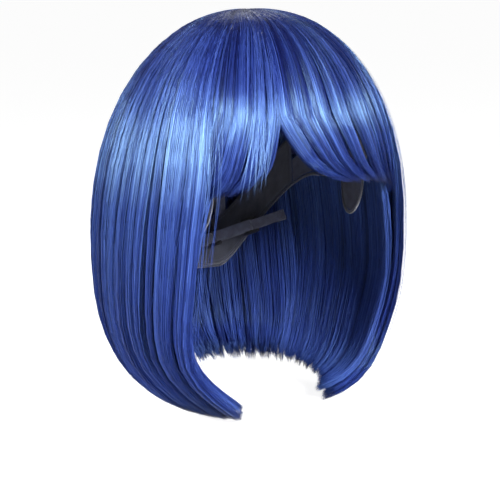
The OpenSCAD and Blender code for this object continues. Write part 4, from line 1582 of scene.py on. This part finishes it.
def lay_top_hair(form, rng, side, low, high, count, inner):
    """Strands that fall from the crown between two places, 0 the front edge and 1 the back."""
    progress = np.linspace(0, 1, 18)[None] ** 0.9
    place = rng.uniform(low, high, count)
    layer = rng.uniform(*(INNER_LAYER if inner else OUTER_LAYER), count)
    root = ROOT_FALL + 34 * layer + rng.normal(0, ROOT_SPREAD, count)
    locks = max(3, int(20 * (high - low)))
    place_big, big_away, big = gather(
        rng, place, locks, lambda t: 0.3 * ramp_in(t, 0.15, 0.9), progress)
    place_fine, fine_away, fine = gather(
        rng, place, FINE_LOCKS * locks, lambda t: 0.55 * ramp_in(t, 0.15, 1.0), progress)
    place_down = place_big + place_fine - place[:, None]
    rough_azimuth = mix(form.side_tip_angle, 180, np.clip(place, 0, 1))
    short = np.abs(rng.normal(0, 2.0, count)) + 2.0 * layer + np.abs(per_lock(rng, fine, 0.8))
    fall = mix(root[:, None], (form.end_fall(rough_azimuth) - short)[:, None], progress)
    azimuth = mix(form.side_edge(fall), 180, place_down)
    sway = np.sin(2 * np.pi * SWAY_WAVES * progress + per_lock(rng, big, 3)[:, None])
    azimuth = azimuth + SWAY * ramp_in(progress, 0.2, 0.7) * sway
    azimuth = azimuth + wander(rng, count, progress, DRIFT)
    groove = grooves(
        rng, (big, big_away, 2.6 * MM), (fine, fine_away, 1.0 * MM), bow=0.6 * MM)
    thickness, proud, root_sink, stray = 4.5 * MM, 1.0 * MM, 3 * MM, 0.25 * MM
    depth = layer[:, None] * thickness - proud + groove * ramp_in(progress, 0.12, 0.45)
    depth = depth + root_sink * (1 - ramp_in(progress, 0, 0.09))
    depth = depth + rng.normal(0, stray, (count, 1)) * ramp_in(progress, 0.2, 0.5)
    paths = form.hair(azimuth, fall, np.maximum(depth, -1.1 * MM))
    tones = 0.5 + per_lock(rng, big, 0.08) + per_lock(rng, fine, 0.2)
    tones = tones + rng.normal(0, TONE_SPREAD, count) - DEPTH_SHADE * layer
    # Strands at the edges of the fine locks are darker: painted shade in the grooves between locks.
    tones = tones - 0.15 * fine_away**2
    paths[..., 0] *= side
    return paths, progress, fall, tones


def lay_fringe(form, rng, side, count, inner):
    """Fringe strands that part above the brow and sweep away to the left, 1, or the right, -1."""
    progress = 1 - (1 - np.linspace(0, 1, 16)[None]) ** 1.5
    far = side * (form.side_front_angle + 1)
    place = rng.uniform(0, 1, count)
    layer = rng.uniform(*(INNER_FRINGE if inner else OUTER_LAYER), count)
    locks = 9 if side > 0 else 6
    place_big, away, lock = gather(
        rng, place, locks, lambda t: 0.35 * ramp_in(t, 0.45, 1.0), progress)
    place_fine, fine_away, fine = gather(
        rng, place, FINE_LOCKS * locks, lambda t: 0.6 * ramp_in(t, 0.3, 1.0), progress)
    place_down = place_big + place_fine - place[:, None]
    start = mix(form.parting - side * 1.5, far, place_down)
    sweep = mix(30.0, 9.0, place**0.8) if side > 0 else -mix(7.0, 18.0, place)
    sweep = sweep + rng.normal(0, 0.7, count) + per_lock(rng, fine, 0.8)
    root = ROOT_FALL + 32 * layer + rng.normal(0, ROOT_SPREAD, count)
    end_azimuth = start[:, -1] + sweep
    short = np.abs(rng.normal(0, 0.9, count)) + 1.2 * layer + per_lock(rng, fine, 0.5)
    end = form.fringe_fall(end_azimuth) - short
    fall = mix(root[:, None], end[:, None], progress)
    # The strands turn aside from just above the parting's gap, and most of all at their ends.
    swing_from = form.fringe_fall(np.array(form.parting)) - 3
    swing = np.clip((fall - swing_from) / (end[:, None] - swing_from), 0, 1)
    swing = 0.55 * swing**1.2 + 0.45 * swing**8
    azimuth = start + sweep[:, None] * swing + wander(rng, count, progress, DRIFT)
    deepest = 2.4 * MM if side > 0 else 4.2 * MM
    groove = grooves(rng, (lock, away, deepest), (fine, fine_away, 1.1 * MM), bow=0.8 * MM)
    thickness, proud, tip_turn, root_sink = 4.0 * MM, 0.9 * MM, 9 * MM, 3 * MM
    depth = layer[:, None] * thickness - proud + groove * ramp_in(progress, 0.15, 0.6)
    depth = depth + tip_turn * progress**4 + root_sink * (1 - ramp_in(progress, 0, 0.1))
    paths = form.hair(azimuth, fall, depth)
    tones = 0.49 + per_lock(rng, lock, 0.1) + per_lock(rng, fine, 0.22)
    tones = tones + rng.normal(0, TONE_SPREAD, count) - DEPTH_SHADE * layer
    # Strands at the edges of the locks are darker: painted shade in the grooves between them.
    tones = tones - 0.26 * fine_away**2 - 0.34 * np.abs(away) ** 4
    # The fringe is shorter than the rest, so its painted sheen and shade run down it faster: its
    # painted highlight sits higher and its ends are painted darker.
    painted_light_fall = fall - 7 + 40 * ramp_in(progress, 0.5, 1.0)
    return paths, progress, painted_light_fall, tones


def lay_crown(form, rng, count):
    """Short strands that turn out of the whorl and lie over the roots of the rest."""
    progress = np.linspace(0, 1, 9)[None]
    whorl_turn = 24
    azimuth = rng.uniform(-180, 180, count)[:, None] - whorl_turn * (1 - progress) ** 3
    reach = rng.uniform(20, 40, count)[:, None]
    fall = mix(rng.uniform(0.2, 2.5, count)[:, None], reach, progress**1.2)
    thickness, proud, root_sink, tip_sink = 1.6 * MM, 1.2 * MM, 2.5 * MM, 1.5 * MM
    depth = thickness * rng.uniform(0, 1, count)[:, None] - proud
    depth = depth + root_sink * (1 - ramp_in(progress, 0, 0.15))
    depth = depth + tip_sink * ramp_in(progress, 0.6, 1.0)
    paths = form.hair(azimuth, fall, depth)
    return paths, progress, fall, 0.42 + rng.normal(0, 0.17, count)


def lay_weft_hair(form, rng, count, edges, upper, layer_number, side):
    """Strands of an inner layer, from its wefts to the ends."""
    progress = np.linspace(0, 1, 15)[None]
    place = rng.uniform(0, 1, count)
    through = rng.uniform(0, 1, count)[:, None]
    place_on, away, lock = gather(
        rng, place, 30, lambda t: 0.3 * ramp_in(t, 0.2, 1.0), progress)
    short = np.abs(rng.normal(0, 3.0, count))
    root = upper + rng.uniform(0, 14, count)
    low, high = edges
    rough = mix(low(150.0), high, place)
    end = form.end_fall(rough) - short
    fall = mix(root[:, None], end[:, None], progress)
    azimuth = mix(low(fall), high, place_on) + wander(rng, count, progress, 0.6)
    leave = upper - 4 + 7 * through
    first_depth, step, thickness, bow = 6.0 * MM, 4.1 * MM, 3.6 * MM, 0.8 * MM
    depth = first_depth + step * layer_number + thickness * through + bow * away[:, None] ** 2
    paths = form.layer(azimuth, fall, depth, leave)
    paths[..., 0] *= side
    tones = 0.45 + per_lock(rng, lock, 0.12) + rng.normal(0, 0.14, count)
    return paths, progress, fall, tones


def lay_loose_hair(form, rng, side, count, span, lift):
    """Single hairs that have come away from the surface between two places across a side."""
    progress = np.linspace(0, 1, 22)[None]
    place = rng.uniform(*span, count)[:, None]
    start = rng.uniform(12, 60, count)[:, None]
    end = np.minimum(start + rng.uniform(45, 95, count)[:, None], LAST_LOOSE_END)
    fall = mix(start, end, progress)
    turn = np.pi * progress * rng.uniform(0.5, 1.4, (count, 1))
    bend = rng.normal(0, 60 * (span[1] - span[0]) ** 0.8, (count, 1)).clip(-5, 5) * np.sin(turn)
    azimuth = mix(form.side_edge(fall), 180, place) + bend
    away = rng.uniform(0.3, 1.0, (count, 1)) * lift
    depth = wander(rng, count, progress, 0.3 * MM) - 0.6 * MM
    depth = depth - away * np.sin(np.pi * progress) ** 2
    paths = form.hair(azimuth, fall, depth)
    paths[..., 0] *= side
    return paths, progress, fall, rng.uniform(0.35, 0.8, count)


def lay_wisps(form, rng, count):
    """Fine hairs of uneven length that thin out the fringe's edge at its parting."""
    progress = np.linspace(0, 1, 18)[None]
    start = form.parting + rng.uniform(-8, 1.5, count)
    sweep = -rng.uniform(0.5, 8, count)
    end = (form.fringe_fall(start + sweep) + rng.uniform(-4, 4, count))[:, None]
    fall = mix(rng.uniform(20, 45, count)[:, None], end, progress)
    azimuth = start[:, None] + sweep[:, None] * progress**2.5 + wander(rng, count, progress, 0.5)
    depth = 7 * MM * progress**3 - 0.5 * MM + wander(rng, count, progress, 0.4 * MM)
    return form.hair(azimuth, fall, depth), progress, fall, rng.uniform(0.6, 0.95, count)


# ---- Stage ----


# Lights by name: degrees round from the camera, degrees up, and watts.
LIGHTS = {"Key": (44, 25, 26), "Fill": (-48, 25, 21), "Back": (180, 40, 4)}
LIGHT_DISTANCE = 1.1
LIGHT_SIZE = (0.45, 0.3)
SKY_STRENGTH = (0.42, 0.10)
FLOOR_SIZE = 60


def direction(azimuth, elevation):
    """The way towards a place round the wig, from angles in radians."""
    return Vector((
        math.sin(azimuth) * math.cos(elevation),
        -math.cos(azimuth) * math.cos(elevation),
        math.sin(elevation),
    ))


def add_area_light(name, azimuth, elevation, power):
    """A soft lamp that shines on the middle of the wig."""
    light = bpy.data.lights.new(name, "AREA")
    light.shape = "RECTANGLE"
    light.size, light.size_y = LIGHT_SIZE
    light.energy = power
    lamp = bpy.data.objects.new(name, light)
    bpy.context.scene.collection.objects.link(lamp)
    away = direction(azimuth, elevation)
    lamp.location = away * LIGHT_DISTANCE
    lamp.rotation_euler = away.to_track_quat("Z", "Y").to_euler()


def make_studio(scene):
    """A soft sky, brightest from the horizon down, that looks plain white to the camera."""
    world = bpy.data.worlds.new("Studio")
    scene.world = world
    world.use_nodes = True
    nodes, links = world.node_tree.nodes, world.node_tree.links
    background = nodes["Background"]
    path = nodes.new("ShaderNodeLightPath")
    place = nodes.new("ShaderNodeTexCoord")
    split = nodes.new("ShaderNodeSeparateXYZ")
    links.new(place.outputs["Generated"], split.inputs[0])
    sky = nodes.new("ShaderNodeMapRange")
    sky.inputs["To Min"].default_value, sky.inputs["To Max"].default_value = SKY_STRENGTH
    links.new(split.outputs["Z"], sky.inputs["Value"])
    level = nodes.new("ShaderNodeMapRange")
    level.inputs["To Max"].default_value = 1.0
    links.new(sky.outputs["Result"], level.inputs["To Min"])
    links.new(path.outputs["Is Camera Ray"], level.inputs["Value"])
    links.new(level.outputs["Result"], background.inputs["Strength"])
    background.inputs["Color"].default_value = (1, 1, 1, 1)


class WIG_OT_stage(bpy.types.Operator):
    """Sets up the camera, the pale floor and the soft lights"""

    bl_idname = "wig.stage"
    bl_label = "Camera, Floor and Lights"

    def execute(self, context):
        scene = context.scene
        stage = scene.wig_stage
        aside = Vector((-math.cos(stage.azimuth), -math.sin(stage.azimuth), 0))
        aim = Vector((0, 0, stage.aim_level)) + aside * stage.aim_aside
        camera_data = bpy.data.cameras.new("Camera")
        camera_data.lens = stage.lens
        camera = bpy.data.objects.new("Camera", camera_data)
        scene.collection.objects.link(camera)
        away = direction(stage.azimuth, stage.elevation)
        camera.location = aim + away * stage.distance
        lean = Quaternion((0, 0, 1), stage.tilt)
        camera.rotation_euler = (away.to_track_quat("Z", "Y") @ lean).to_euler()
        scene.camera = camera
        scene.view_settings.view_transform = "Standard"
        scene.view_settings.look = "None"

        level = CAD_LOW.z - 0.5 * MM
        bpy.ops.mesh.primitive_plane_add(size=FLOOR_SIZE, location=(0, 0, level))
        floor = context.object
        floor.name = "Floor"
        floor.data.materials.append(floor_material())
        floor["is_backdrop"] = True

        make_studio(scene)
        for name, (turn, rise, power) in LIGHTS.items():
            add_area_light(name, stage.azimuth + math.radians(turn), math.radians(rise), power)
        return {"FINISHED"}


# ---- Operators for the pieces ----


class WIG_OT_top_hair(bpy.types.Operator):
    """Lays the outer hair of the sides and the back"""

    bl_idname = "wig.top_hair"
    bl_label = "Side and Back Hair"

    def execute(self, context):
        form = Form()
        split, end = 0.45, 1.03
        for side_name, side in SIDES.items():
            for part, low, high in (("side", 0.0, split), ("back", split, end)):
                node = f"top_hair_{part}_{side_name}"
                for inner in (True, False):
                    rng = np.random.default_rng([11, side + 1, int(high * 10), inner])
                    strands = lay_top_hair(
                        form, rng, side, low, high, strand_count(1900), inner)
                    name = node + ("_inner" if inner else "_outer")
                    add_strands(rng, name, strands, [node])
        return {"FINISHED"}


class WIG_OT_fringe(bpy.types.Operator):
    """Lays the fringe either side of its parting"""

    bl_idname = "wig.fringe"
    bl_label = "Fringe"

    def execute(self, context):
        form = Form()
        for side_name, side, full in (("left", 1, 2100), ("right", -1, 1000)):
            node = f"fringe_{side_name}"
            for inner in (True, False):
                rng = np.random.default_rng([23, full, inner])
                strands = lay_fringe(form, rng, side, strand_count(full), inner)
                name = node + ("_inner" if inner else "_outer")
                add_strands(rng, name, strands, [node])
        return {"FINISHED"}


class WIG_OT_crown_hair(bpy.types.Operator):
    """Lays the whorl at the crown"""

    bl_idname = "wig.crown_hair"
    bl_label = "Whorl"

    def execute(self, context):
        form = Form()
        rng = np.random.default_rng(31)
        strands = lay_crown(form, rng, strand_count(2600))
        add_strands(rng, "crown_hair_whorl", strands, ["crown_hair"], thickness=0.8)
        return {"FINISHED"}


class WIG_OT_weft_hair(bpy.types.Operator):
    """Lays the inner layers of hair"""

    bl_idname = "wig.weft_hair"
    bl_label = "Inner Layers"

    def execute(self, context):
        form = Form()

        def side_edge(fall):
            """The front edge of the side layers, just behind the side hair's."""
            return form.side_edge(fall) + 2

        # Name, front edge, far edge, fall angle of the top weft, layer from the outside, side of
        # the head and number of strands.
        layers = [
            ("weft_hair_side_left", side_edge, 118, 62, 0, 1, 1800),
            ("weft_hair_side_right", side_edge, 118, 62, 0, -1, 1800),
            ("weft_hair_back_upper", level_line(114), 246, 64, 0, 1, 2200),
            ("weft_hair_back_lower", level_line(118), 242, 79, 1, 1, 2000),
            ("nape_hair", level_line(122), 238, 94, 2, 1, 1800),
        ]
        for number, (node, low, high, upper, layer, side, full) in enumerate(layers):
            rng = np.random.default_rng([41, number])
            strands = lay_weft_hair(
                form, rng, strand_count(full), (low, high), upper, layer, side)
            add_strands(rng, node + "_strands", strands, [node], "under_hair", 1.5)
        return {"FINISHED"}


class WIG_OT_loose_hair(bpy.types.Operator):
    """Lays the single hairs that have come away from the surface"""

    bl_idname = "wig.loose_hair"
    bl_label = "Loose Hairs"

    def execute(self, context):
        form = Form()
        for name, side in SIDES.items():
            for group, full, span, lift in (
                ("surface", 40, (0.03, 1.0), 0.4 * MM), ("edge", 14, (-0.03, 0.0), 0.5 * MM),
            ):
                rng = np.random.default_rng([53, side + 1, full, len(group)])
                strands = lay_loose_hair(form, rng, side, strand_count(full), span, lift)
                add_strands(rng, f"loose_hair_{group}_{name}", strands, (), thickness=0.45)
        rng = np.random.default_rng(59)
        add_strands(rng, "loose_hair_parting", lay_wisps(form, rng, strand_count(55)), (),
                    thickness=0.45)
        return {"FINISHED"}


# ---- Panel and registration ----


PIECE_OPERATORS = (
    WIG_OT_stage,
    WIG_OT_crown_net,
    WIG_OT_bands,
    WIG_OT_ear_tabs,
    WIG_OT_ribbons,
    WIG_OT_wefts,
    WIG_OT_adjusters,
    WIG_OT_label,
    WIG_OT_weft_hair,
    WIG_OT_top_hair,
    WIG_OT_fringe,
    WIG_OT_crown_hair,
    WIG_OT_loose_hair,
)


class WIG_PT_maker(bpy.types.Panel):
    """Lists the wig's settings and pieces"""

    bl_idname = "WIG_PT_maker"
    bl_label = "Bob Wig"
    bl_space_type = "VIEW_3D"
    bl_region_type = "UI"
    bl_category = "Wig"

    def draw(self, context):
        layout = self.layout
        for group in SETTINGS:
            settings = getattr(context.scene, group)
            box = layout.box()
            for name in settings.bl_rna.properties.keys():
                if name not in ("rna_type", "name"):
                    box.prop(settings, name)
        for operator in PIECE_OPERATORS:
            layout.operator(operator.bl_idname)


SETTINGS = {
    "wig_head": HeadSettings,
    "wig_cut": CutSettings,
    "wig_fibre": FibreSettings,
    "wig_cap": CapSettings,
    "wig_stage": StageSettings,
}
CLASSES = (*SETTINGS.values(), *PIECE_OPERATORS, WIG_PT_maker)


def register():
    """Registers every class and hangs the settings on the scene."""
    for each in CLASSES:
        bpy.utils.register_class(each)
    for name, group in SETTINGS.items():
        setattr(bpy.types.Scene, name, bpy.props.PointerProperty(type=group))


def unregister():
    """Takes the settings and the classes away again."""
    for name in SETTINGS:
        delattr(bpy.types.Scene, name)
    for each in reversed(CLASSES):
        bpy.utils.unregister_class(each)


def run_operator(operator):
    """Calls an operator and stops with an error if it can't finish."""
    group, name = operator.bl_idname.split(".")
    result = getattr(getattr(bpy.ops, group), name)()
    if result != {"FINISHED"}:
        raise RuntimeError(f"{operator.bl_label} didn't finish")


def main():
    """Builds the whole wig."""
    register()
    for operator in PIECE_OPERATORS:
        run_operator(operator)
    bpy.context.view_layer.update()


if __name__ == "__main__":
    main()
